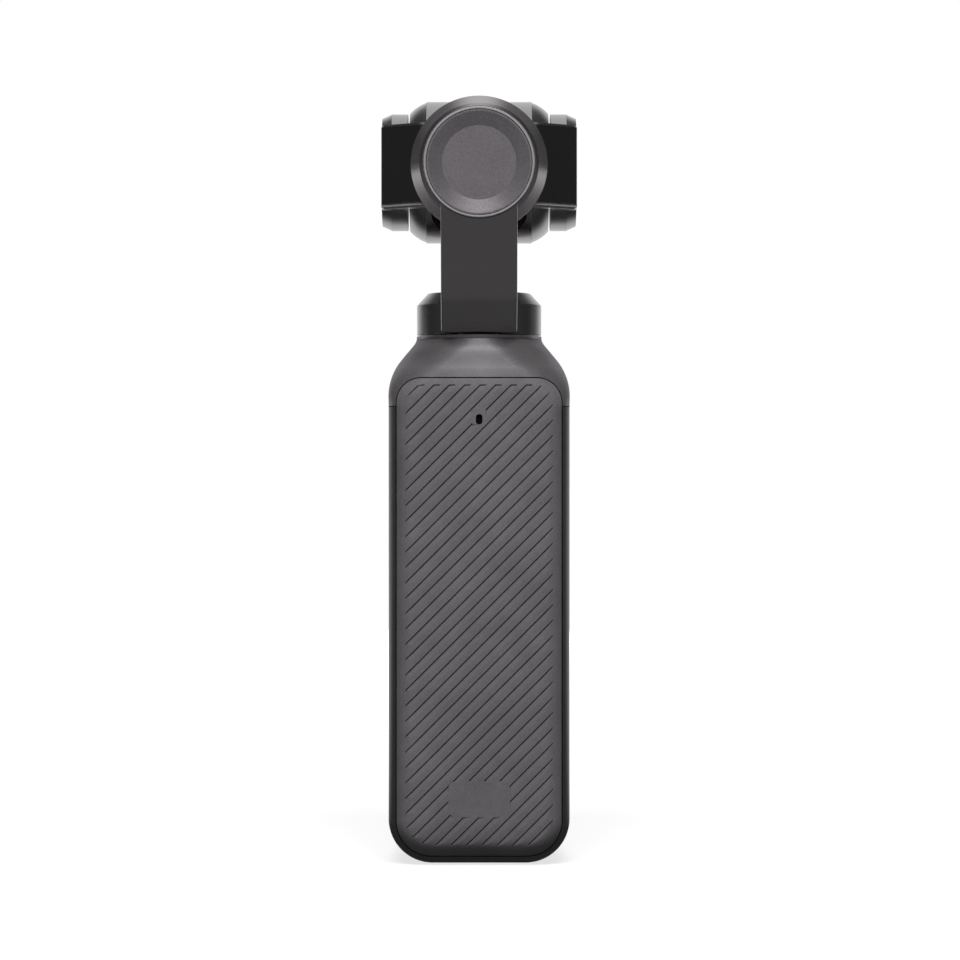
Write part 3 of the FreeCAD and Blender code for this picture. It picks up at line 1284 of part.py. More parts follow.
parts["pan_arm"] = make_pan_arm()
parts["arm_ribbon"] = slope_plate(RIBBON_HALF, POCKET_MARGIN + TIGHT,
                                  POCKET_DEPTH - RIBBON_THICKNESS, POCKET_DEPTH)
parts["arm_inner_cover"] = slope_plate(POCKET_HALF - TIGHT, POCKET_MARGIN + TIGHT, 0,
                                       POCKET_DEPTH - RIBBON_THICKNESS)


def make_cap_ring():
    edge = CAP_EDGE
    inner = CAP_RADIUS - CAP_RING_WIDTH
    top = DRUM_BACK + CAP_DEPTH
    points = [(inner, DRUM_BACK), (CAP_RADIUS, DRUM_BACK), (CAP_RADIUS, top - edge),
              (CAP_RADIUS - edge, top), (inner, top)]
    return turned([V(radius, y, HEAD_HEIGHT) for radius, y in points], HEAD, AXIS_Y)


def make_cap_disc():
    """The dished insert: a thin lip, a cone that falls inwards, and a flat middle."""
    outer = CAP_RADIUS - CAP_RING_WIDTH - CAP_GROOVE
    top = DRUM_BACK + CAP_DEPTH - CAP_STEP
    points = [(0, DRUM_BACK), (outer, DRUM_BACK), (outer, top), (outer - CAP_LIP, top),
              (CAP_DISC_RADIUS, top - CAP_RECESS), (0, top - CAP_RECESS)]
    return turned([V(radius, y, HEAD_HEIGHT) for radius, y in points], HEAD, AXIS_Y)


parts["roll_cap_ring"] = make_cap_ring()
parts["roll_cap_disc"] = make_cap_disc()

# The roll motor is built along +Z and turned to face forward, with zero at the drum's floor.
ROLL_FLOOR = V(0, DRUM_INSIDE, HEAD_HEIGHT)
FORWARD = V(0, -1, 0)
parts["roll_stator"] = placed(wound_stator(ROLL_CORE_START, ROLL_CORE_HEIGHT, ROLL_COIL_OVERHANG),
                              ROLL_FLOOR, FORWARD)
parts["roll_bearings"] = placed(Part.makeCompound([bearing(0)]), ROLL_FLOOR, FORWARD)


# Yoke

ROLL_CUP_END = DRUM_INSIDE - MOTOR_CLEARANCE


def make_yoke():
    """The bracket that carries the camera: a hub, two diagonal shoulders and side cheeks."""
    half_height = YOKE_ARM_HEIGHT / 2
    inner = HOUSING_INNER
    front = YOKE_CHEEK_FRONT
    rise = YOKE_INNER_RISE
    run = YOKE_INNER_RUN
    base = HEAD_HEIGHT - half_height
    points = [V(-YOKE_HALF_WIDTH, front, base), V(-YOKE_HALF_WIDTH, YOKE_SIDE_START, base),
              V(-YOKE_DIAGONAL_X, YOKE_BACK, base), V(YOKE_DIAGONAL_X, YOKE_BACK, base),
              V(YOKE_HALF_WIDTH, YOKE_SIDE_START, base), V(YOKE_HALF_WIDTH, front, base),
              V(inner, front, base), V(inner, YOKE_FRONT - rise, base),
              V(inner - run, YOKE_FRONT, base), V(-inner + run, YOKE_FRONT, base),
              V(-inner, YOKE_FRONT - rise, base), V(-inner, front, base)]
    radii = [0, YOKE_HEEL, YOKE_BEND, YOKE_BEND, YOKE_HEEL, 0, 0] + [YOKE_INNER_BEND] * 4 + [0]
    bracket = prism(points, radii, V(0, 0, YOKE_ARM_HEIGHT))
    edges = []
    for edge in bracket.Edges:
        bounds = edge.BoundBox
        level = abs(bounds.ZLength) < SNAP
        outside = bounds.YMin > YOKE_SIDE_START - TIGHT and edge.CenterOfMass.y > YOKE_FRONT + TIGHT
        heel = YOKE_SIDE_START - YOKE_BEND
        diagonal = level and abs(edge.CenterOfMass.x) > inner and bounds.YMin > heel
        if level and (outside or diagonal):
            edges.append(edge)
    bracket = bracket.makeChamfer(YOKE_EDGE, edges)
    hub = cylinder(YOKE_HUB_RADIUS, V(0, YOKE_FRONT, HEAD_HEIGHT), AXIS_Y, YOKE_BACK - YOKE_FRONT)
    hub_edges = [edge for edge in hub.Edges if abs(edge.BoundBox.YMin - YOKE_BACK) < SNAP
                 and edge.BoundBox.YLength < SNAP]
    hub = hub.makeChamfer(YOKE_EDGE, hub_edges)
    cup = tube(CUP_RADIUS, MAGNET_OUTER, V(0, YOKE_BACK - TIGHT, HEAD_HEIGHT), AXIS_Y,
               ROLL_CUP_END - YOKE_BACK + TIGHT)
    yoke = bracket.multiFuse([hub, cup])
    room = cylinder(BARREL_RADIUS + YOKE_CAMERA_GAP, V(-HOUSING_INNER, 0, HEAD_HEIGHT), AXIS_X,
                    2 * HOUSING_INNER)
    seats = [cylinder(HOUSING_RADIUS, V(side * HOUSING_INNER, 0, HEAD_HEIGHT), V(side, 0, 0), FAR)
             for side in (-1, 1)]
    shaft = cylinder(SHAFT_RADIUS, V(0, YOKE_FRONT + SHAFT_SEAT_DEPTH, HEAD_HEIGHT), AXIS_Y, FAR)
    return yoke.cut([room] + seats + [shaft]).removeSplitter()


parts["yoke"] = make_yoke()
parts["roll_magnets"] = tube(MAGNET_OUTER, MAGNET_INNER,
                             V(0, YOKE_BACK + MAGNET_SEAT, HEAD_HEIGHT), AXIS_Y,
                             ROLL_CUP_END - YOKE_BACK - MAGNET_SEAT)
ROLL_SHAFT_START = YOKE_FRONT + SHAFT_SEAT_DEPTH
parts["roll_shaft"] = cylinder(SHAFT_RADIUS, V(0, ROLL_SHAFT_START, HEAD_HEIGHT), AXIS_Y,
                               DRUM_INSIDE - MOTOR_CLEARANCE - ROLL_SHAFT_START)

TILT_FLOOR = HOUSING_INNER + HOUSING_WALL
BEARING_SEAT = HOUSING_WALL - BEARING_SINK
TILT_ROOM_END = YOKE_HALF_WIDTH - TILT_LID


def housing_blank():
    """The outside of one tilt housing, built along +Z with its inner face at zero."""
    points = [(0, 0), (HOUSING_RADIUS, 0), (HOUSING_RADIUS, HOUSING_LENGTH - HOUSING_CHAMFER_LENGTH),
              (HOUSING_RADIUS - HOUSING_CHAMFER_DEPTH, HOUSING_LENGTH), (0, HOUSING_LENGTH)]
    return turned([V(radius, 0, height) for radius, height in points], V(0, 0, 0), AXIS_Z)


TILT_ROOM = TILT_ROOM_END - TILT_FLOOR


def make_tilt_housing():
    """A cup for the motor, with the bearing hub standing up from its inner wall."""
    blank = housing_blank()
    room = tube(HOUSING_BORE, HUB_RADIUS, V(0, 0, HOUSING_WALL), AXIS_Z, TILT_ROOM)
    above = cylinder(HUB_RADIUS, V(0, 0, HOUSING_WALL + TILT_ROOM - TILT_HUB_DROP), AXIS_Z,
                     TILT_HUB_DROP)
    bore = cylinder(BEARING_OUTER, V(0, 0, BEARING_SEAT), AXIS_Z, TILT_ROOM + BEARING_SINK)
    hole = cylinder(SHAFT_RADIUS + SHAFT_HOLE_MARGIN, V(0, 0, -OVER), AXIS_Z, 3 * OVER)
    return blank.cut([room, above, bore, hole])


def make_pivot_housing():
    """The plain housing on the other side, bored for its bearing only."""
    blank = housing_blank()
    bore = cylinder(BEARING_OUTER, V(0, 0, BEARING_SEAT), AXIS_Z, BEARING_WIDTH + BEARING_SPARE)
    hole = cylinder(SHAFT_RADIUS + SHAFT_HOLE_MARGIN, V(0, 0, -OVER), AXIS_Z, 3 * OVER)
    return blank.cut([bore, hole])


RIGHT = V(HOUSING_INNER, 0, HEAD_HEIGHT)
LEFT = V(-HOUSING_INNER, 0, HEAD_HEIGHT)
TILT_CORE_START = HOUSING_WALL + TILT_CORE_GAP
parts["tilt_motor_housing"] = placed(make_tilt_housing(), RIGHT, AXIS_X)
parts["tilt_pivot_housing"] = placed(make_pivot_housing(), LEFT, V(-1, 0, 0))
parts["tilt_stator"] = placed(wound_stator(TILT_CORE_START, TILT_CORE_HEIGHT, TILT_COIL_OVERHANG),
                              RIGHT, AXIS_X)
parts["tilt_bearings"] = Part.makeCompound([
    placed(bearing(BEARING_SEAT), RIGHT, AXIS_X),
    placed(bearing(BEARING_SEAT), LEFT, V(-1, 0, 0))])


# Camera

def barrel_blank():
    """The camera body turned about the tilt axis: a raised band and rounded ends."""
    band = BARREL_RIM
    step = BARREL_RADIUS - BARREL_STEP
    end = BARREL_HALF_WIDTH
    z = HEAD_HEIGHT
    bulge_x = band + (end - band) * BARREL_BULGE_X
    bulge_r = step - (step - BARREL_END_RADIUS) * BARREL_BULGE_R
    right_start = V(end, 0, z + BARREL_END_RADIUS)
    right_bulge = V(bulge_x, 0, z + bulge_r)
    right_end = V(band, 0, z + step)
    left_start = V(-band, 0, z + step)
    left_bulge = V(-bulge_x, 0, z + bulge_r)
    left_end = V(-end, 0, z + BARREL_END_RADIUS)
    edges = [Part.makeLine(V(end, 0, z), right_start),
             Part.Arc(right_start, right_bulge, right_end).toShape(),
             Part.makeLine(right_end, V(band, 0, z + BARREL_RADIUS)),
             Part.makeLine(V(band, 0, z + BARREL_RADIUS), V(-band, 0, z + BARREL_RADIUS)),
             Part.makeLine(V(-band, 0, z + BARREL_RADIUS), left_start),
             Part.Arc(left_start, left_bulge, left_end).toShape(),
             Part.makeLine(left_end, V(-end, 0, z)),
             Part.makeLine(V(-end, 0, z), V(end, 0, z))]
    return Part.Face(Part.Wire(edges)).revolve(HEAD, AXIS_X, 360)


def recess_prism(margin, y0, y1):
    """The rounded rectangle of the front and rear recesses."""
    corner = RECESS_CORNER + margin
    return plate_xz(RECESS_HALF_WIDTH + margin, HEAD_HEIGHT - RECESS_HALF_HEIGHT - margin,
                    HEAD_HEIGHT + RECESS_HALF_HEIGHT + margin, [corner] * 4, y0, y1)


SHAFT_SEAT = BARREL_HALF_WIDTH - TILT_SHAFT_SEAT


def tilt_shaft(direction, length):
    start = V(direction * SHAFT_SEAT, 0, HEAD_HEIGHT)
    return cylinder(SHAFT_RADIUS, start, V(direction, 0, 0), length)


TILT_SHAFT_LENGTH = YOKE_HALF_WIDTH - TILT_LID - MOTOR_CLEARANCE - SHAFT_SEAT
PIVOT_SHAFT_LENGTH = HOUSING_INNER + BEARING_SEAT + BEARING_WIDTH - SHAFT_SEAT


def make_camera_shells():
    """Front and rear halves of the barrel, hollow for the lens and the sensor."""
    body = barrel_blank()
    body = body.cut([recess_prism(0, -FAR, -FRONT_RECESS), recess_prism(0, REAR_RECESS, FAR)])
    core = cylinder(CORE_RADIUS, V(0, -FRONT_RECESS + FLOOR_THICKNESS, HEAD_HEIGHT), AXIS_Y,
                    FRONT_RECESS + REAR_RECESS - 2 * FLOOR_THICKNESS)
    lens_hole = cylinder(LENS_TUBE_RADIUS + TIGHT, V(0, -FAR, HEAD_HEIGHT), AXIS_Y, FAR)
    shafts = [tilt_shaft(1, TILT_SHAFT_LENGTH), tilt_shaft(-1, PIVOT_SHAFT_LENGTH)]
    body = body.cut([core, lens_hole] + shafts)
    ahead = box(-FAR, FAR, -FAR, 0, 0, 2 * HEAD_HEIGHT)
    return body.common(ahead), body.cut(ahead)


front_shell, rear_shell = make_camera_shells()
parts["camera_front_shell"] = front_shell
parts["camera_rear_shell"] = rear_shell
barrel_round = cylinder(BARREL_RADIUS - BARREL_STEP, V(-FAR, 0, HEAD_HEIGHT), AXIS_X, 2 * FAR)


def make_rear_plate():
    """The black plate in the rear recess, trimmed to the barrel's round."""
    plate = recess_prism(-TIGHT, REAR_RECESS, REAR_RECESS + REAR_PLATE_THICKNESS)
    return plate.common(barrel_round)


parts["camera_rear_plate"] = make_rear_plate()


def make_bezel():
    """The black face round the lens ring, trimmed to the barrel's round."""
    bezel = recess_prism(-TIGHT, -FRONT_RECESS - BEZEL_THICKNESS, -FRONT_RECESS)
    ahead = [edge for edge in bezel.Edges
             if abs(edge.BoundBox.YMax + FRONT_RECESS + BEZEL_THICKNESS) < SNAP]
    bezel = bezel.makeChamfer(BEZEL_EDGE, ahead).common(barrel_round)
    hole = cylinder(LENS_TUBE_RADIUS + TIGHT, V(0, -FAR, HEAD_HEIGHT), AXIS_Y, FAR)
    return bezel.cut(hole)


def make_lens_barrel():
    """The lens tube: front ring with a bevel towards the glass, and a stepped bore."""
    front = -LENS_RING_FRONT
    back = SENSOR_Y - LENS_TUBE_BACK
    ring_edge = LENS_RING_EDGE
    bezel_face = -FRONT_RECESS - BEZEL_THICKNESS
    second = LENS_BORE - LENS_STEPS[0]
    third = LENS_BORE - LENS_STEPS[1]
    points = [(LENS_BORE, front + LENS_BEVEL_DEPTH),
              (LENS_BORE + LENS_BEVEL_WIDTH, front + LENS_BEVEL_RISE),
              (LENS_RING_RADIUS - ring_edge, front), (LENS_RING_RADIUS, front + ring_edge),
              (LENS_RING_RADIUS, bezel_face), (LENS_TUBE_RADIUS, bezel_face),
              (LENS_TUBE_RADIUS, back), (third, back), (third, LENS_STEP_THREE),
              (second, LENS_STEP_THREE), (second, front + LENS_STEP_TWO),
              (LENS_BORE, front + LENS_STEP_TWO)]
    return turned([V(radius, y, HEAD_HEIGHT) for radius, y in points], HEAD, AXIS_Y)


def lens_element(radius, face, edge, front_sag, back_sag):
    """One lens: two round faces with a flat edge between them. Sag is how far each bulges."""
    z = HEAD_HEIGHT
    rim_front = V(radius, face, z)
    rim_back = V(radius, face + edge, z)
    pole_front = V(0, face - front_sag, z)
    pole_back = V(0, face + edge + back_sag, z)

    def face_arc(rim, pole, sag):
        if abs(sag) < SNAP:
            return Part.makeLine(rim, pole)
        curve = (radius ** 2 + sag ** 2) / (2 * abs(sag))
        half_angle = math.asin(radius / curve) / 2
        side = curve * math.sin(half_angle)
        drop = curve * (1 - math.cos(half_angle))
        away = 1 if rim.y > pole.y else -1
        return Part.Arc(rim, V(side, pole.y + away * drop, z), pole).toShape()

    edges = [face_arc(rim_front, pole_front, front_sag), Part.makeLine(pole_front, pole_back),
             face_arc(rim_back, pole_back, back_sag), Part.makeLine(rim_back, rim_front)]
    return Part.Face(Part.Wire(Part.sortEdges(edges)[0])).revolve(HEAD, AXIS_Y, 360)


GLASS_FRONT = -LENS_RING_FRONT + GLASS_SINK
parts["front_glass"] = lens_element(LENS_BORE - GLASS_FIT, GLASS_FRONT, GLASS_EDGE, LENS_DOME, 0)
parts["lens_elements"] = Part.makeCompound([
    lens_element(LENS_BORE - GLASS_FIT, GLASS_FRONT + SECOND_LENS_SINK, LENS_EDGE,
                 *SECOND_LENS_SAGS),
    lens_element(LENS_BORE - LENS_STEPS[0] - GLASS_FIT, GLASS_FRONT + THIRD_LENS_SINK, LENS_EDGE,
                 *THIRD_LENS_SAGS),
    lens_element(LENS_BORE - LENS_STEPS[1] - GLASS_FIT, SENSOR_Y - REAR_LENS_AHEAD, LENS_EDGE,
                 *REAR_LENS_SAGS)])
parts["lens_barrel"] = make_lens_barrel()
parts["lens_bezel"] = make_bezel()


def make_sensor_board():
    """The round board with the image sensor soldered to its front."""
    board = cylinder(CORE_RADIUS, V(0, SENSOR_Y, HEAD_HEIGHT), AXIS_Y, BOARD_THICKNESS)
    sensor = box(-SENSOR_WIDTH / 2, SENSOR_WIDTH / 2, SENSOR_Y - SENSOR_DEPTH, SENSOR_Y,
                 HEAD_HEIGHT - SENSOR_HEIGHT / 2, HEAD_HEIGHT + SENSOR_HEIGHT / 2)
    return board.fuse(sensor)


parts["sensor_board"] = make_sensor_board()
parts["tilt_shafts"] = Part.makeCompound([tilt_shaft(1, TILT_SHAFT_LENGTH),
                                          tilt_shaft(-1, PIVOT_SHAFT_LENGTH)])

TILT_CUP_END = HOUSING_LENGTH - TILT_LID - MOTOR_CLEARANCE
TILT_MAGNET_START = HOUSING_WALL + TILT_MAGNET_GAP


def make_tilt_cup():
    """The steel cup on the end of the shaft that carries the magnets."""
    web = TILT_CUP_WEB
    disc = tube(CUP_RADIUS, SHAFT_RADIUS, V(0, 0, TILT_CUP_END - web), AXIS_Z, web)
    rim = tube(CUP_RADIUS, MAGNET_OUTER, V(0, 0, TILT_MAGNET_START), AXIS_Z,
               TILT_CUP_END - TILT_MAGNET_START)
    return disc.fuse(rim).removeSplitter()


parts["tilt_rotor_cup"] = placed(make_tilt_cup(), RIGHT, AXIS_X)
parts["tilt_magnets"] = placed(tube(MAGNET_OUTER, MAGNET_INNER, V(0, 0, TILT_MAGNET_START),
                                    AXIS_Z, TILT_CUP_END - TILT_CUP_WEB - TILT_MAGNET_START),
                               RIGHT, AXIS_X)

# Write one file per piece
os.makedirs("parts", exist_ok=True)
for old in os.listdir("parts"):
    os.remove(os.path.join("parts", old))
for name, shape in parts.items():
    shape.exportStep("parts/" + name + ".step")
print(len(parts), "pieces")
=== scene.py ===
import bpy
import bmesh
import math
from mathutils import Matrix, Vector


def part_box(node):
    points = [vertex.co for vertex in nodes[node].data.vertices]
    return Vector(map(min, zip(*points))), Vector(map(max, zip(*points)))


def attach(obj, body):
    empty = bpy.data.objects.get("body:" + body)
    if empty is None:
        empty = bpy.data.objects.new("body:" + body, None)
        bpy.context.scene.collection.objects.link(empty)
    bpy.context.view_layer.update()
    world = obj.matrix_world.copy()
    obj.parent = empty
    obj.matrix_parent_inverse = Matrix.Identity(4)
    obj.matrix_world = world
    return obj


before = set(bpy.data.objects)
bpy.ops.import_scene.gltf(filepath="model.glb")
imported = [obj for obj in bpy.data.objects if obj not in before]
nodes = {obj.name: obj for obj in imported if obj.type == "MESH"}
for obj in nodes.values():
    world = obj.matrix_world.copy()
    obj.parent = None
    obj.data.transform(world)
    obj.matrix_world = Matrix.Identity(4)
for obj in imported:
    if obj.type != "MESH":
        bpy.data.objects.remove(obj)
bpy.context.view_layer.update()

# Lengths are in metres
MM = 0.001


# Node helpers

EDGE_SAMPLES = 6
LOWER_GAIN = 6.0
GAP_SAMPLES = 6
GAP_CONTRAST = 1.4

# The Mix node's sockets for two colours, and its output for the mixed one
MIX_FIRST = 6
MIX_SECOND = 7
MIX_RESULT = 2


class Shader:
    """One material's node tree, with short calls for the nodes used here."""

    def __init__(self, name):
        self.material = bpy.data.materials.new(name)
        self.material.use_nodes = True
        self.tree = self.material.node_tree
        self.tree.nodes.clear()
        output = self.tree.nodes.new("ShaderNodeOutputMaterial")
        self.bsdf = self.tree.nodes.new("ShaderNodeBsdfPrincipled")
        self.link(self.bsdf.outputs["BSDF"], output.inputs["Surface"])
        coords = self.tree.nodes.new("ShaderNodeTexCoord")
        self.place = coords.outputs["Object"]

    def link(self, source, target):
        self.tree.links.new(source, target)

    def set(self, **values):
        """Set the shader's own sockets, with underscores for the spaces in their names."""
        for key, value in values.items():
            socket = self.bsdf.inputs[key.replace("_", " ")]
            socket.default_value = value

    def to(self, source, key):
        """Link a value to one of the shader's sockets."""
        self.link(source, self.bsdf.inputs[key])

    def mapped(self, scale):
        """The place on the piece, stretched along its axes."""
        node = self.tree.nodes.new("ShaderNodeMapping")
        node.inputs["Scale"].default_value = scale
        self.link(self.place, node.inputs["Vector"])
        return node.outputs["Vector"]

    def noise(self, scale, detail=2.0, roughness=0.5, vector=None):
        node = self.tree.nodes.new("ShaderNodeTexNoise")
        node.inputs["Scale"].default_value = scale
        node.inputs["Detail"].default_value = detail
        node.inputs["Roughness"].default_value = roughness
        self.link(vector or self.place, node.inputs["Vector"])
        return node.outputs["Fac"]

    def voronoi(self, scale, feature="F1"):
        node = self.tree.nodes.new("ShaderNodeTexVoronoi")
        node.feature = feature
        node.inputs["Scale"].default_value = scale
        self.link(self.place, node.inputs["Vector"])
        return node.outputs["Distance"]

    def math(self, operation, first, second=0.5, third=None, clamp=False):
        node = self.tree.nodes.new("ShaderNodeMath")
        node.operation = operation
        node.use_clamp = clamp
        for index, value in enumerate((first, second, third)):
            if value is None:
                continue
            if isinstance(value, (int, float)):
                node.inputs[index].default_value = value
            else:
                self.link(value, node.inputs[index])
        return node.outputs["Value"]

    def squared(self, value):
        return self.math("MULTIPLY", value, value)

    def vector_math(self, operation, first, second=None, output="Vector"):
        node = self.tree.nodes.new("ShaderNodeVectorMath")
        node.operation = operation
        for index, value in enumerate((first, second)):
            if isinstance(value, tuple):
                node.inputs[index].default_value = value
            elif value is not None:
                self.link(value, node.inputs[index])
        return node.outputs[output]

    def split(self, vector=None):
        """The X, Y and Z of a vector, or of the place on the piece."""
        node = self.tree.nodes.new("ShaderNodeSeparateXYZ")
        self.link(vector or self.place, node.inputs[0])
        return node.outputs

    def plain_normal(self):
        """The normal before any bump."""
        return self.tree.nodes.new("ShaderNodeNewGeometry").outputs["Normal"]

    def spread(self, fac, low, high):
        """A value from low to high as fac goes from 0 to 1."""
        node = self.tree.nodes.new("ShaderNodeMapRange")
        node.inputs["To Min"].default_value = low
        node.inputs["To Max"].default_value = high
        self.link(fac, node.inputs["Value"])
        return node.outputs["Result"]

    def ramp(self, fac, stops):
        node = self.tree.nodes.new("ShaderNodeValToRGB")
        elements = node.color_ramp.elements
        while len(elements) < len(stops):
            elements.new(0.5)
        for element, (position, colour) in zip(elements, stops):
            element.position = position
            element.color = colour
        self.link(fac, node.inputs["Fac"])
        return node.outputs["Color"]

    def bump(self, height, distance, strength=1.0, normal=None):
        node = self.tree.nodes.new("ShaderNodeBump")
        node.inputs["Distance"].default_value = distance
        node.inputs["Strength"].default_value = strength
        self.link(height, node.inputs["Height"])
        if normal is not None:
            self.link(normal, node.inputs["Normal"])
        return node.outputs["Normal"]

    def soft_edges(self, radius):
        """A normal that turns softly over every edge."""
        node = self.tree.nodes.new("ShaderNodeBevel")
        node.samples = EDGE_SAMPLES
        node.inputs["Radius"].default_value = radius
        return node.outputs["Normal"]

    def edges(self, radius, gain, lower=False):
        """0 on flat faces and towards 1 within the radius of an edge, or only of a lower edge."""
        rounded = self.soft_edges(radius)
        facing = self.vector_math("DOT_PRODUCT", rounded, self.plain_normal(), "Value")
        mask = self.math("MULTIPLY", self.math("SUBTRACT", 1.0, facing), gain, clamp=True)
        if lower:
            local = self.tree.nodes.new("ShaderNodeVectorTransform")
            local.vector_type = "NORMAL"
            local.convert_from = "WORLD"
            local.convert_to = "OBJECT"
            self.link(rounded, local.inputs[0])
            downward = self.math("MULTIPLY", self.split(local.outputs[0])["Z"], -LOWER_GAIN, clamp=True)
            mask = self.math("MULTIPLY", mask, downward)
        return mask

    def painted_gap_shade(self, distance, low):
        """Painted shade from ambient occlusion: 1 in the open, down to low in narrow gaps and grooves.
        """
        node = self.tree.nodes.new("ShaderNodeAmbientOcclusion")
        node.samples = GAP_SAMPLES
        node.inputs["Distance"].default_value = distance
        return self.math("POWER", self.spread(node.outputs["AO"], low, 1.0), GAP_CONTRAST)

    def mix(self, fac, first, second):
        node = self.tree.nodes.new("ShaderNodeMix")
        node.data_type = "RGBA"
        self.link(fac, node.inputs["Factor"])
        for index, value in ((MIX_FIRST, first), (MIX_SECOND, second)):
            if isinstance(value, tuple):
                node.inputs[index].default_value = value
            else:
                self.link(value, node.inputs[index])
        return node.outputs[MIX_RESULT]

    def scaled(self, colour, value):
        """A colour multiplied by a value."""
        node = self.tree.nodes.new("ShaderNodeVectorMath")
        node.operation = "SCALE"
        self.link(colour, node.inputs[0])
        self.link(value, node.inputs["Scale"])
        return node.outputs["Vector"]


def shade(colour, factor):
    """An opaque colour, lighter or darker by the factor."""
    return tuple(min(1.0, channel * factor) for channel in colour[:3]) + (1.0,)


UPRIGHT = (math.radians(90), 0, 0)
SWELL_SHARE = 0.75
KNURL_START = 0.62
KNURL_FADE = 0.1


def crown(s, corners, radius, width, drop, foot, foot_drop):
    """A bump that turns the outer margin of a back plate away, as on a softly crowned moulding.

    The foot is the height over which the plate's lower end turns down."""
    low, high = corners
    place = s.split()
    inside = []
    for axis in ("X", "Z"):
        index = "XYZ".index(axis)
        middle = (low[index] + high[index]) / 2
        half = (high[index] - low[index]) / 2 - radius
        away = s.math("ABSOLUTE", s.math("SUBTRACT", place[axis], middle))
        inside.append(s.math("SUBTRACT", away, half))
    beyond = [s.math("MAXIMUM", value, 0.0) for value in inside]
    corner = s.math("SQRT", s.math("ADD", s.squared(beyond[0]), s.squared(beyond[1])))
    flat = s.math("MINIMUM", s.math("MAXIMUM", inside[0], inside[1]), 0.0)
    past = s.math("ADD", s.math("ADD", corner, flat), width - radius)
    share = s.math("DIVIDE", past, width, clamp=True)
    below = s.math("DIVIDE", s.math("SUBTRACT", low[2] + foot, place["Z"]), foot, clamp=True)
    margin = s.math("MULTIPLY", s.squared(share), -1.0)
    return s.bump(s.math("MULTIPLY_ADD", s.squared(below), -foot_drop / drop, margin), drop)


def swell(s, corners, ridge, rise, bend_below, bend_above, reach, outward):
    """A bump that evens out a shoulder's slope: it turns its walls up most at the ridge's height.

    The bends are how fast this fades below the ridge, and above it up to the reach. Outward turns
    the walls away from the middle."""
    low, high = corners
    place = s.split()
    past = s.math("SUBTRACT", place["Z"], ridge)
    above = s.math("MAXIMUM", past, 0.0)
    below = s.math("MINIMUM", past, 0.0)
    straight = s.math("MAXIMUM", s.math("SUBTRACT", above, reach), 0.0)
    bent = s.math("SUBTRACT", s.squared(above), s.squared(straight))
    curved = s.math("ADD", s.math("MULTIPLY", bent, bend_above / 2),
                    s.math("MULTIPLY", s.squared(below), -bend_below / 2))
    lift = s.math("MULTIPLY_ADD", past, -rise, curved)
    period = SWELL_SHARE * (high[0] - low[0]) / 2
    wave = s.math("COSINE", s.math("MULTIPLY", place["X"], math.pi / period))
    return s.bump(s.math("MULTIPLY_ADD", wave, outward * period / math.pi, lift), 1.0)


def knurl(s, corners, count, size):
    """Ridges round a cap's rim that face outwards. The size is their height beside the grain's."""
    low, high = corners
    axes = s.tree.nodes.new("ShaderNodeMapping")
    axes.inputs["Rotation"].default_value = UPRIGHT
    shift = s.tree.nodes.new("ShaderNodeMapping")
    shift.inputs["Location"].default_value = [-(a + b) / 2 for a, b in zip(low, high)]
    s.link(s.place, shift.inputs["Vector"])
    s.link(shift.outputs["Vector"], axes.inputs["Vector"])
    turn = s.tree.nodes.new("ShaderNodeTexGradient")
    turn.gradient_type = "RADIAL"
    s.link(axes.outputs["Vector"], turn.inputs["Vector"])
    waves = s.math("SINE", s.math("MULTIPLY", turn.outputs["Fac"], 2 * math.pi * count))
    sideways = s.vector_math("MULTIPLY", axes.outputs["Vector"], (1.0, 1.0, 0.0))
    radius = s.vector_math("LENGTH", sideways, output="Value")
    reach = (high[0] - low[0]) / 2
    out = s.math("SUBTRACT", radius, reach * KNURL_START)
    out = s.math("DIVIDE", out, reach * KNURL_FADE, clamp=True)
    return s.math("MULTIPLY", s.math("MULTIPLY", waves, out), size)


PAINT_IOR = 1.5
# Painted highlights: a pale colour along lower edges, and a lighter, less metallic tone along every
# edge
LOWER_HIGHLIGHT_COLOUR = (0.55, 0.54, 0.55, 1.0)
LOWER_HIGHLIGHT_GAIN = 30.0
HIGHLIGHT_GAIN = 5.0
HIGHLIGHT_SPREAD = (0.5, 1.5)
HIGHLIGHT_KEPT = 0.6
HIGHLIGHT_PALE = 0.25
HIGHLIGHT_DULL = 0.7
CLOUD_SCALE = 180.0
CLOUD_DETAIL = 3.0
FINE_DETAIL = 2.0
NOISE_ROUGHNESS = 0.6
RAMP_ENDS = (0.3, 0.7)
SHEEN_SPREAD = 0.04
CELL_SCALE = 0.8
CELL_HEIGHT = 0.5


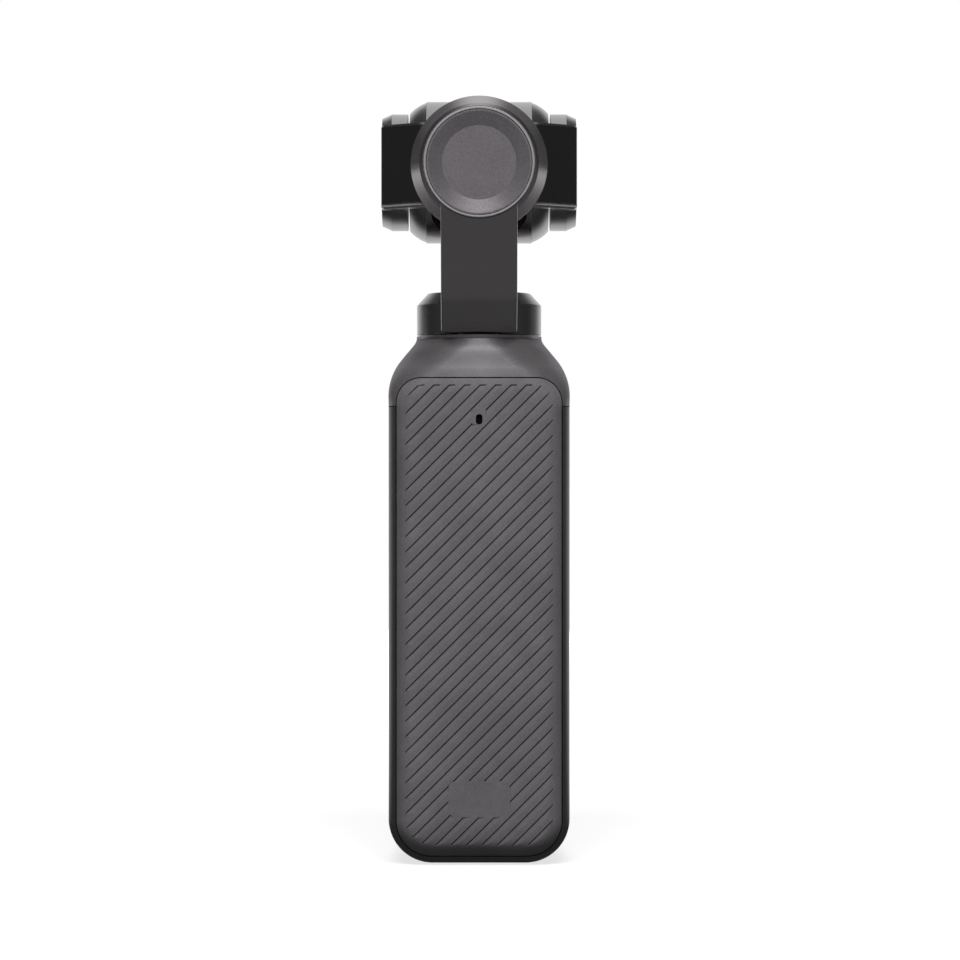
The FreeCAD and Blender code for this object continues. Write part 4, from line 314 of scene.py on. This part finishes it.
def surface(name, colour, roughness, metallic=0.0, grain=9000.0, depth=0.004, mottle=0.06, speck=0.35,
            edge=0.12, worn=0.25, gap=0.35, gap_low=0.12, stretch=(1.0, 1.0, 1.0), turned=None, rim=0.0,
            knurled=None, tint=1.0):
    """Fine grain and faint mottling, edges rounded and painted lighter as a highlight, gaps and grooves
    painted darker as shade.

    Grain is the noise's scale and depth its height in mm, mottle the colour's spread and speck the
    grain's share in it. Edge, gap and rim are widths in mm: edge of the rounding and of a painted
    highlight along every edge, gap of the painted shade in gaps and grooves, rim of a painted highlight
    along lower edges.
    Turned names a bump that turns whole walls, with its sizes, and knurled gives the knurl's."""
    s = Shader(name)
    s.set(Base_Color=shade(colour, 1.0), Roughness=roughness, IOR=PAINT_IOR, Metallic=metallic,
          Specular_Tint=(tint, tint, tint, 1.0))
    vector = s.mapped(stretch)
    cloud = s.noise(CLOUD_SCALE, CLOUD_DETAIL, NOISE_ROUGHNESS)
    fine = s.noise(grain, FINE_DETAIL, NOISE_ROUGHNESS, vector)
    both = s.math("MULTIPLY_ADD", fine, speck, s.math("MULTIPLY", cloud, 1.0 - speck))
    tones = (shade(colour, 1 - mottle), shade(colour, 1 + mottle))
    base = s.ramp(both, list(zip(RAMP_ENDS, tones)))
    # Lighter edges, patchy by the cloud noise, are a painted highlight; they also dull the metal there.
    highlight_share = s.spread(cloud, worn * HIGHLIGHT_SPREAD[0], worn * HIGHLIGHT_SPREAD[1])
    highlight_mask = s.math("MULTIPLY", s.edges(edge * MM, HIGHLIGHT_GAIN), highlight_share)
    base = s.mix(highlight_mask, base, shade(tuple(HIGHLIGHT_KEPT * channel + HIGHLIGHT_PALE for channel in colour), 1.0))
    # A pale colour along lower edges is a painted highlight.
    if rim:
        lower_highlight_mask = s.edges(rim * MM, LOWER_HIGHLIGHT_GAIN, lower=True)
        base = s.mix(lower_highlight_mask, base, LOWER_HIGHLIGHT_COLOUR)
        highlight_mask = s.math("MAXIMUM", highlight_mask, lower_highlight_mask)
    if metallic:
        s.to(s.math("MULTIPLY_ADD", highlight_mask, -HIGHLIGHT_DULL * metallic, metallic), "Metallic")
    # The base colour is darkened in gaps and grooves as painted shade.
    s.to(s.scaled(base, s.painted_gap_shade(gap * MM, gap_low)), "Base Color")
    s.to(s.spread(cloud, roughness - SHEEN_SPREAD, roughness + SHEEN_SPREAD), "Roughness")
    cells = s.voronoi(grain * CELL_SCALE)
    height = s.math("ADD", fine, s.math("MULTIPLY", cells, CELL_HEIGHT))
    if knurled:
        height = s.math("ADD", height, knurl(s, *knurled))
    normal = s.bump(height, depth * MM, 1.0, s.soft_edges(edge * MM))
    if turned:
        maker, *sizes = turned
        tilt = s.vector_math("SUBTRACT", maker(s, *sizes), s.plain_normal())
        normal = s.vector_math("NORMALIZE", s.vector_math("ADD", tilt, normal))
    s.to(normal, "Normal")
    return s.material


def plastic(name, colour, roughness, **more):
    """Moulded or painted plastic."""
    return surface(name, colour, roughness, **more)


def metal(name, colour, roughness, metallic=1.0, **more):
    """Blasted, turned or brushed metal, with a finer grain than plastic."""
    settings = {"grain": 7000.0, "depth": 0.003, "mottle": 0.05, "edge": 0.08}
    settings.update(more)
    return surface(name, colour, roughness, metallic=metallic, **settings)


HAZE_SCALE = 220.0
HAZE_DETAIL = 2.0
HAZE_ROUGHNESS = 0.5
HAZE_SPREAD = 0.02


def clear(name, colour, roughness, transmission=0.0, ior=1.5, coating=0.0):
    """Glass or frosted plastic. The coating is a film's thickness in nanometres."""
    s = Shader(name)
    s.set(Base_Color=shade(colour, 1.0), Roughness=roughness, IOR=ior,
          Transmission_Weight=transmission, Thin_Film_Thickness=coating)
    haze = s.noise(HAZE_SCALE, HAZE_DETAIL, HAZE_ROUGHNESS)
    s.to(s.spread(haze, roughness, roughness + HAZE_SPREAD), "Roughness")
    return s.material


MASK_GREEN = (0.012, 0.06, 0.03)
MASK_PALE = 1.5
TRACK_GREEN = (0.03, 0.13, 0.06, 1.0)
TRACK_SCALE = 420.0
TRACK_WIDTH = 0.05
TRACK_HEIGHT = 0.01 * MM
TRACK_RELIEF = 0.6
BOARD_ROUGHNESS = 0.35


def circuit(name):
    """Green solder mask in two tones, with lighter tracks between."""
    s = Shader(name)
    s.set(Base_Color=shade(MASK_GREEN, 1.0), Roughness=BOARD_ROUGHNESS)
    brick = s.tree.nodes.new("ShaderNodeTexBrick")
    brick.inputs["Scale"].default_value = TRACK_SCALE
    brick.inputs["Mortar Size"].default_value = TRACK_WIDTH
    brick.inputs["Color1"].default_value = shade(MASK_GREEN, 1.0)
    brick.inputs["Color2"].default_value = shade(MASK_GREEN, MASK_PALE)
    brick.inputs["Mortar"].default_value = TRACK_GREEN
    axes = s.tree.nodes.new("ShaderNodeMapping")
    axes.inputs["Rotation"].default_value = UPRIGHT
    s.link(s.place, axes.inputs["Vector"])
    s.link(axes.outputs["Vector"], brick.inputs["Vector"])
    s.to(brick.outputs["Color"], "Base Color")
    s.to(s.bump(brick.outputs["Fac"], TRACK_HEIGHT, TRACK_RELIEF), "Normal")
    return s.material


COPPER = (0.45, 0.17, 0.06)
WIRE_ROUGHNESS = 0.35
WIRE_METALLIC = 0.8
WIRE_SCALE = 900.0
WIRE_WOBBLE = 0.4
WIRE_HEIGHT = 0.03 * MM
WIRE_TONES = ((0.2, 0.5), (0.8, 1.2))


def winding(name):
    """Enamelled copper wire wound in fine bands."""
    s = Shader(name)
    s.set(Base_Color=shade(COPPER, 1.0), Roughness=WIRE_ROUGHNESS, Metallic=WIRE_METALLIC)
    wave = s.tree.nodes.new("ShaderNodeTexWave")
    wave.inputs["Scale"].default_value = WIRE_SCALE
    wave.inputs["Distortion"].default_value = WIRE_WOBBLE
    s.link(s.place, wave.inputs["Vector"])
    tones = [(position, shade(COPPER, tone)) for position, tone in WIRE_TONES]
    s.to(s.ramp(wave.outputs["Fac"], tones), "Base Color")
    s.to(s.bump(wave.outputs["Fac"], WIRE_HEIGHT), "Normal")
    return s.material


# Materials of the pieces

HANDLE_PAINT = {"grain": 4600.0, "speck": 0.6, "gap_low": 0.0}
PLATE_CORNER = 6.0 * MM
PLATE_MARGIN = 2.4 * MM
PLATE_MARGIN_DROP = 0.42 * MM
PLATE_FOOT = 6.5 * MM
PLATE_FOOT_DROP = 0.9 * MM
PLATE_TURN = (crown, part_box("rear_cover"), PLATE_CORNER, PLATE_MARGIN, PLATE_MARGIN_DROP, PLATE_FOOT,
              PLATE_FOOT_DROP)
SHOULDER_RIDGE = 90.2 * MM
SHOULDER_RISE = 0.3
SHOULDER_BEND_BELOW = 70.0
SHOULDER_BEND_ABOVE = 240.0
SHOULDER_REACH = 2.8 * MM
SHOULDER_OUTWARD = 0.08
SHOULDER_TURN = (swell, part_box("top_shell"), SHOULDER_RIDGE, SHOULDER_RISE, SHOULDER_BEND_BELOW,
                 SHOULDER_BEND_ABOVE, SHOULDER_REACH, SHOULDER_OUTWARD)
KNURL_COUNT = 36
KNURL_SIZE = 3.0
STICK_KNURL = (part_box("joystick_cap"), KNURL_COUNT, KNURL_SIZE)

MATERIALS = {
    "cover_grey": plastic("cover_grey", (0.128, 0.122, 0.129), 0.48, mottle=0.26, depth=0.007, worn=0.3,
                          gap=0.5, turned=PLATE_TURN, **HANDLE_PAINT),
    # The top shell's grey is painted lighter, as a lit copy of the handle's grey, and the side frame's
    # grey darker, as a shaded copy.
    "lit_shell_grey": metal("lit_shell_grey", (0.44, 0.422, 0.438), 0.4, metallic=0.9, mottle=0.22, depth=0.007,
                        worn=0.2, gap=0.5, turned=SHOULDER_TURN, tint=0.35, **HANDLE_PAINT),
    "shaded_side_grey": metal("shaded_side_grey", (0.17, 0.163, 0.17), 0.4, metallic=0.9, mottle=0.16, depth=0.006,
                       worn=0.2, gap=0.8, **HANDLE_PAINT),
    "front_black": plastic("front_black", (0.02, 0.02, 0.021), 0.45),
    "screen_body": plastic("screen_body", (0.035, 0.035, 0.036), 0.38),
    "arm_metal": metal("arm_metal", (0.355, 0.337, 0.35), 0.24, worn=0.6),
    "rotor_metal": metal("rotor_metal", (0.26, 0.252, 0.258), 0.24, worn=0.5),
    "cap_ring": metal("cap_ring", (0.36, 0.345, 0.358), 0.3, metallic=0.35, worn=0.9, edge=0.15),
    "cap_disc": metal("cap_disc", (0.34, 0.316, 0.336), 0.36, metallic=0.8, grain=5200.0, depth=0.008,
                      mottle=0.3, speck=0.8, edge=0.05, worn=0.1),
    # The yoke's lower edges get a painted highlight.
    "yoke_black": metal("yoke_black", (0.155, 0.153, 0.155), 0.22, worn=0.6, rim=0.8),
    "camera_grey": metal("camera_grey", (0.31, 0.302, 0.31), 0.25, worn=0.3),
    "camera_black": plastic("camera_black", (0.008, 0.008, 0.009), 0.3, worn=0.03),
    "raw_metal": metal("raw_metal", (0.5, 0.5, 0.51), 0.45),
    "foil": metal("foil", (0.12, 0.12, 0.14), 0.4, metallic=0.6),
    "circuit": circuit("circuit"),
    "steel": metal("steel", (0.55, 0.55, 0.56), 0.25, stretch=(1.0, 1.0, 12.0)),
    "winding": winding("winding"),
    "nickel": metal("nickel", (0.42, 0.41, 0.39), 0.22),
    "cap_rubber": plastic("cap_rubber", (0.024, 0.024, 0.024), 0.6, grain=5000.0, depth=0.02,
                          knurled=STICK_KNURL),
    "gold": metal("gold", (0.75, 0.52, 0.2), 0.25),
    "rubber": plastic("rubber", (0.018, 0.018, 0.018), 0.75, grain=5000.0, depth=0.008),
    "film": plastic("film", (0.35, 0.16, 0.04), 0.3),
    "natural_plastic": plastic("natural_plastic", (0.5, 0.5, 0.47), 0.45),
    "component": plastic("component", (0.025, 0.025, 0.026), 0.5),
    "red": plastic("red", (0.55, 0.012, 0.01), 0.28, mottle=0.02),
    "button": plastic("button", (0.035, 0.035, 0.036), 0.35),
    "lens_glass": clear("lens_glass", (0.012, 0.013, 0.022), 0.02, transmission=0.25, ior=1.52,
                        coating=105.0),
    "inner_glass": clear("inner_glass", (0.006, 0.008, 0.016), 0.0, ior=1.6, coating=90.0),
    "dark_glass": plastic("dark_glass", (0.006, 0.006, 0.007), 0.08, grain=2000.0, depth=0.0001,
                          mottle=0.02, edge=0.05, worn=0.0),
    "display": plastic("display", (0.008, 0.008, 0.01), 0.15),
    "frosted": clear("frosted", (0.9, 0.93, 0.95), 0.35, transmission=0.8),
}

ASSIGN = {
    "rear_cover": "cover_grey", "side_frame": "shaded_side_grey", "top_shell": "lit_shell_grey",
    "front_panel": "front_black", "joystick_cap": "cap_rubber", "joystick_base": "component",
    "speaker": "component", "screen_frame": "screen_body", "screen_glass": "dark_glass",
    "display_panel": "display", "record_button": "button", "record_inlay": "red",
    "status_light_pipe": "frosted", "pan_arm": "arm_metal", "arm_inner_cover": "arm_metal",
    "pan_rotor_housing": "rotor_metal", "tilt_motor_housing": "camera_grey",
    "tilt_pivot_housing": "camera_grey", "roll_cap_ring": "cap_ring", "roll_cap_disc": "cap_disc",
    "yoke": "yoke_black", "camera_front_shell": "camera_grey", "camera_rear_shell": "camera_grey",
    "camera_rear_plate": "camera_black", "lens_bezel": "camera_black", "lens_barrel": "camera_black",
    "front_glass": "lens_glass", "lens_elements": "inner_glass", "inner_chassis": "raw_metal",
    "pan_motor_base": "raw_metal", "battery": "foil", "main_board": "circuit",
    "control_board": "circuit", "sensor_board": "circuit", "chassis_screws": "steel",
    "pan_bearings": "steel", "roll_bearings": "steel", "tilt_bearings": "steel",
    "pan_shaft": "steel", "roll_shaft": "steel", "tilt_shafts": "steel", "usb_c_socket": "steel",
    "card_socket": "steel", "shield_can": "steel", "pan_stator": "winding",
    "roll_stator": "winding", "tilt_stator": "winding", "pan_magnets": "nickel",
    "pan_rotor_cup": "nickel", "roll_magnets": "nickel", "tilt_magnets": "nickel",
    "tilt_rotor_cup": "nickel", "microphone_boot": "rubber", "arm_ribbon": "film",
    "screen_bush": "natural_plastic", "joystick_ring": "component", "joystick_stem": "component",
    "screen_pivot": "steel", "rear_microphone": "component", "record_switch": "component",
}

for node_name, node_object in nodes.items():
    material = MATERIALS[ASSIGN[node_name]]
    mesh = node_object.data
    mesh.materials.clear()
    mesh.materials.append(material)


# Contacts of the port

PORT_HALF_DEPTH = 1.63 * MM
TONGUE_HALF = 0.35 * MM
CONTACT_PROUD = 0.04 * MM
CONTACT_COUNT = 12
CONTACT_PITCH = 0.5 * MM
CONTACT_WIDTH = 0.26 * MM
CONTACT_START = 1.7 * MM
CONTACT_END = 5.6 * MM
CONTACT_LEAD = 1 / 3


def contact_strip(mesh, left, right, bottom, top, face, proud):
    """One flat contact with cut corners at its lower end, standing proud of the tongue's face."""
    lead = (right - left) * CONTACT_LEAD
    outline = [(left, top), (left, bottom + lead), (left + lead, bottom), (right - lead, bottom),
               (right, bottom + lead), (right, top)]
    rings = [[mesh.verts.new((x, y, z)) for x, z in outline] for y in (face, face + proud)]
    mesh.faces.new(rings[0])
    mesh.faces.new(reversed(rings[1]))
    count = len(outline)
    for index in range(count):
        after = (index + 1) % count
        mesh.faces.new((rings[0][index], rings[1][index], rings[1][after], rings[0][after]))


def port_contacts():
    """Twelve contacts on each face of the port's tongue."""
    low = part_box("usb_c_socket")[0]
    middle = low[1] + PORT_HALF_DEPTH
    mesh = bmesh.new()
    for side in (-1, 1):
        face = middle + side * (TONGUE_HALF - CONTACT_PROUD / 2)
        for index in range(CONTACT_COUNT):
            x = (index - (CONTACT_COUNT - 1) / 2) * CONTACT_PITCH
            contact_strip(mesh, x - CONTACT_WIDTH / 2, x + CONTACT_WIDTH / 2, CONTACT_START,
                          CONTACT_END, face, side * CONTACT_PROUD)
    bmesh.ops.recalc_face_normals(mesh, faces=mesh.faces)
    data = bpy.data.meshes.new("port_contacts")
    mesh.to_mesh(data)
    mesh.free()
    piece = bpy.data.objects.new("port_contacts", data)
    bpy.context.collection.objects.link(piece)
    data.materials.append(MATERIALS["gold"])
    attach(piece, "handle")


port_contacts()


# Lamps, world, floor and camera

MIDDLE = (0.0, 0.0, 0.08)

# Each lamp's place, size and power in watts
LAMPS = {
    "key_top": ((0.0, 0.5, 0.72), (0.5, 0.4), 8.8),
    "screen_fill": ((0.0, -0.9, 0.3), (0.5, 0.5), 6.0),
    "front_fill": ((0.0, 0.9, 0.1), (0.4, 0.4), 0.8),
}


def area_light(name, location, size, power):
    """A soft lamp aimed at the object's middle, which lights surfaces but isn't mirrored in them."""
    data = bpy.data.lights.new(name, "AREA")
    data.shape = "RECTANGLE"
    data.size = size[0]
    data.size_y = size[1]
    data.energy = power
    lamp = bpy.data.objects.new(name, data)
    bpy.context.collection.objects.link(lamp)
    lamp.location = location
    direction = Vector(MIDDLE) - Vector(location)
    lamp.rotation_euler = direction.to_track_quat("-Z", "Y").to_euler()
    lamp.visible_glossy = False


WHITE = (1, 1, 1, 1)


class Tree:
    """Short calls for the value nodes of the world and the floor."""

    def __init__(self, tree):
        self.tree = tree
        tree.nodes.clear()
        self.path = tree.nodes.new("ShaderNodeLightPath")

    def value(self, operation, first, second=0.0):
        node = self.tree.nodes.new("ShaderNodeMath")
        node.operation = operation
        for index, value in enumerate((first, second)):
            if isinstance(value, (int, float)):
                node.inputs[index].default_value = value
            else:
                self.tree.links.new(value, node.inputs[index])
        return node.outputs[0]

    def blend(self, value, span, out_low, out_high):
        """A smooth step from out_low to out_high as the value goes through the span."""
        node = self.tree.nodes.new("ShaderNodeMapRange")
        node.interpolation_type = "SMOOTHSTEP"
        numbers = {"From Min": span[0], "From Max": span[1], "To Min": out_low, "To Max": out_high}
        for key, number in numbers.items():
            node.inputs[key].default_value = number
        self.tree.links.new(value, node.inputs["Value"])
        return node.outputs["Result"]

    def split(self, vector):
        """The X, Y and Z of a vector."""
        node = self.tree.nodes.new("ShaderNodeSeparateXYZ")
        self.tree.links.new(vector, node.inputs[0])
        return node.outputs

    def seen(self):
        """1 for camera and transmission rays."""
        return self.value("MAXIMUM", self.path.outputs["Is Camera Ray"],
                          self.path.outputs["Is Transmission Ray"])


# Levels of the white around, and spans of a mirrored ray's direction over which they change
FILL_LEVEL = 0.08
FRONT_LEVEL = 0.145
SIDE_LEVEL = 0.08
TOP_LEVEL = 1.05
BEHIND = (-0.95, -0.52)
ABOVE = (-0.05, 0.68)
ASIDE = (0.25, 0.75)
STRIP = (0.05, 0.42)


def make_world():
    """White to the camera and dim as a light.

    In reflections it is white behind and in a strip overhead, dark ahead and darker at the sides.
    Ahead is the camera's side."""
    world = bpy.data.worlds.new("studio")
    bpy.context.scene.world = world
    world.use_nodes = True
    world.cycles.sampling_method = "NONE"
    t = Tree(world.node_tree)
    nodes_new = world.node_tree.nodes.new
    output = nodes_new("ShaderNodeOutputWorld")
    backdrop = nodes_new("ShaderNodeBackground")
    backdrop.inputs["Color"].default_value = WHITE
    links = world.node_tree.links
    direction = t.split(nodes_new("ShaderNodeTexCoord").outputs["Generated"])
    behind = t.blend(direction["Y"], BEHIND, 1.0, 0.0)
    height = t.blend(direction["Z"], ABOVE, FRONT_LEVEL, TOP_LEVEL)
    aside = t.value("ABSOLUTE", direction["X"])
    around = t.blend(aside, ASIDE, FRONT_LEVEL, SIDE_LEVEL)
    strip = t.blend(aside, STRIP, 1.0, 0.0)
    above = t.value("MULTIPLY", height, strip)
    mirrored = t.value("MAXIMUM", t.value("MAXIMUM", behind, above), around)
    more = t.value("SUBTRACT", mirrored, FILL_LEVEL)
    glossy = t.value("MULTIPLY", t.path.outputs["Is Glossy Ray"], more)
    seen = t.value("MULTIPLY", t.seen(), 1.0 - FILL_LEVEL)
    strength = t.value("ADD", t.value("ADD", glossy, seen), FILL_LEVEL)
    links.new(strength, backdrop.inputs["Strength"])
    links.new(backdrop.outputs[0], output.inputs["Surface"])


# Levels of the floor, and the places between which they change
FLOOR_REACH = 30.0
FLOOR_DROP = 0.2 * MM
FLOOR_COLOUR = 0.3
FLOOR_GLOW = 0.74
FLOOR_FADE = (0.08, 0.3)
FLOOR_BOUNCE = 0.4
FLOOR_MIRRORED = 0.05
FLOOR_AHEAD = (-0.03, 0.09)
FLOOR_BEHIND = (-0.12, -0.015)
FLOOR_SPINE = 0.02
FLOOR_WEDGE = 0.45


def make_floor():
    """A pale floor that turns white away from the object, so only a soft shadow shows.

    In reflections it is white in a wedge behind the object, dark near it and grey ahead of it.
    It gives back less light to the object than to the camera."""
    mesh = bpy.data.meshes.new("floor")
    corners = [(x * FLOOR_REACH, y * FLOOR_REACH, 0) for x, y in ((-1, -1), (1, -1), (1, 1), (-1, 1))]
    mesh.from_pydata(corners, [], [(0, 1, 2, 3)])
    floor = bpy.data.objects.new("floor", mesh)
    bpy.context.collection.objects.link(floor)
    floor.location = (0, 0, -FLOOR_DROP)
    material = bpy.data.materials.new("floor_white")
    material.use_nodes = True
    t = Tree(material.node_tree)
    nodes_new = material.node_tree.nodes.new
    links = material.node_tree.links
    output = nodes_new("ShaderNodeOutputMaterial")
    diffuse = nodes_new("ShaderNodeBsdfDiffuse")
    bounced = t.value("MULTIPLY", t.path.outputs["Is Diffuse Ray"], 1.0 - FLOOR_BOUNCE)
    matte = t.value("SUBTRACT", 1.0, t.value("MAXIMUM", t.path.outputs["Is Glossy Ray"], bounced))
    links.new(t.value("MULTIPLY", matte, FLOOR_COLOUR), diffuse.inputs["Color"])
    glow = nodes_new("ShaderNodeEmission")
    glow.inputs["Color"].default_value = WHITE
    place = nodes_new("ShaderNodeTexCoord").outputs["Object"]
    length = nodes_new("ShaderNodeVectorMath")
    length.operation = "LENGTH"
    links.new(place, length.inputs[0])
    lit = t.value("MULTIPLY", t.seen(), t.blend(length.outputs["Value"], FLOOR_FADE, FLOOR_GLOW, 1.0))
    axes = t.split(place)
    aside = t.value("SUBTRACT", t.value("ABSOLUTE", axes["X"]), FLOOR_SPINE)
    aside = t.value("MAXIMUM", aside, 0.0)
    back = t.value("ADD", axes["Y"], t.value("MULTIPLY", aside, FLOOR_WEDGE))
    behind = t.blend(back, FLOOR_BEHIND, 1.0, FLOOR_MIRRORED)
    ahead = t.blend(axes["Y"], FLOOR_AHEAD, FLOOR_MIRRORED, FRONT_LEVEL)
    mirrored = t.value("MULTIPLY", t.path.outputs["Is Glossy Ray"], t.value("MAXIMUM", behind, ahead))
    links.new(t.value("ADD", lit, mirrored), glow.inputs["Strength"])
    both = nodes_new("ShaderNodeAddShader")
    links.new(diffuse.outputs[0], both.inputs[0])
    links.new(glow.outputs[0], both.inputs[1])
    links.new(both.outputs[0], output.inputs["Surface"])
    mesh.materials.append(material)


make_world()
make_floor()
for lamp_name, lamp_values in LAMPS.items():
    area_light(lamp_name, *lamp_values)

SENSOR_WIDTH = 36.0
FOCAL_LENGTH = 128.1
CLIP_START = 0.05
CLIP_END = 60.0
CAMERA_PLACE = (-0.00016, 0.6326, 0.06975)
CAMERA_TURN = (math.radians(90), 0, math.radians(180))
camera_data = bpy.data.cameras.new("camera")
camera_data.sensor_width = SENSOR_WIDTH
camera_data.lens = FOCAL_LENGTH
camera_data.clip_start = CLIP_START
camera_data.clip_end = CLIP_END
camera = bpy.data.objects.new("camera", camera_data)
bpy.context.collection.objects.link(camera)
camera.location = CAMERA_PLACE
camera.rotation_euler = CAMERA_TURN
bpy.context.scene.camera = camera
bpy.context.scene.view_settings.view_transform = "Standard"
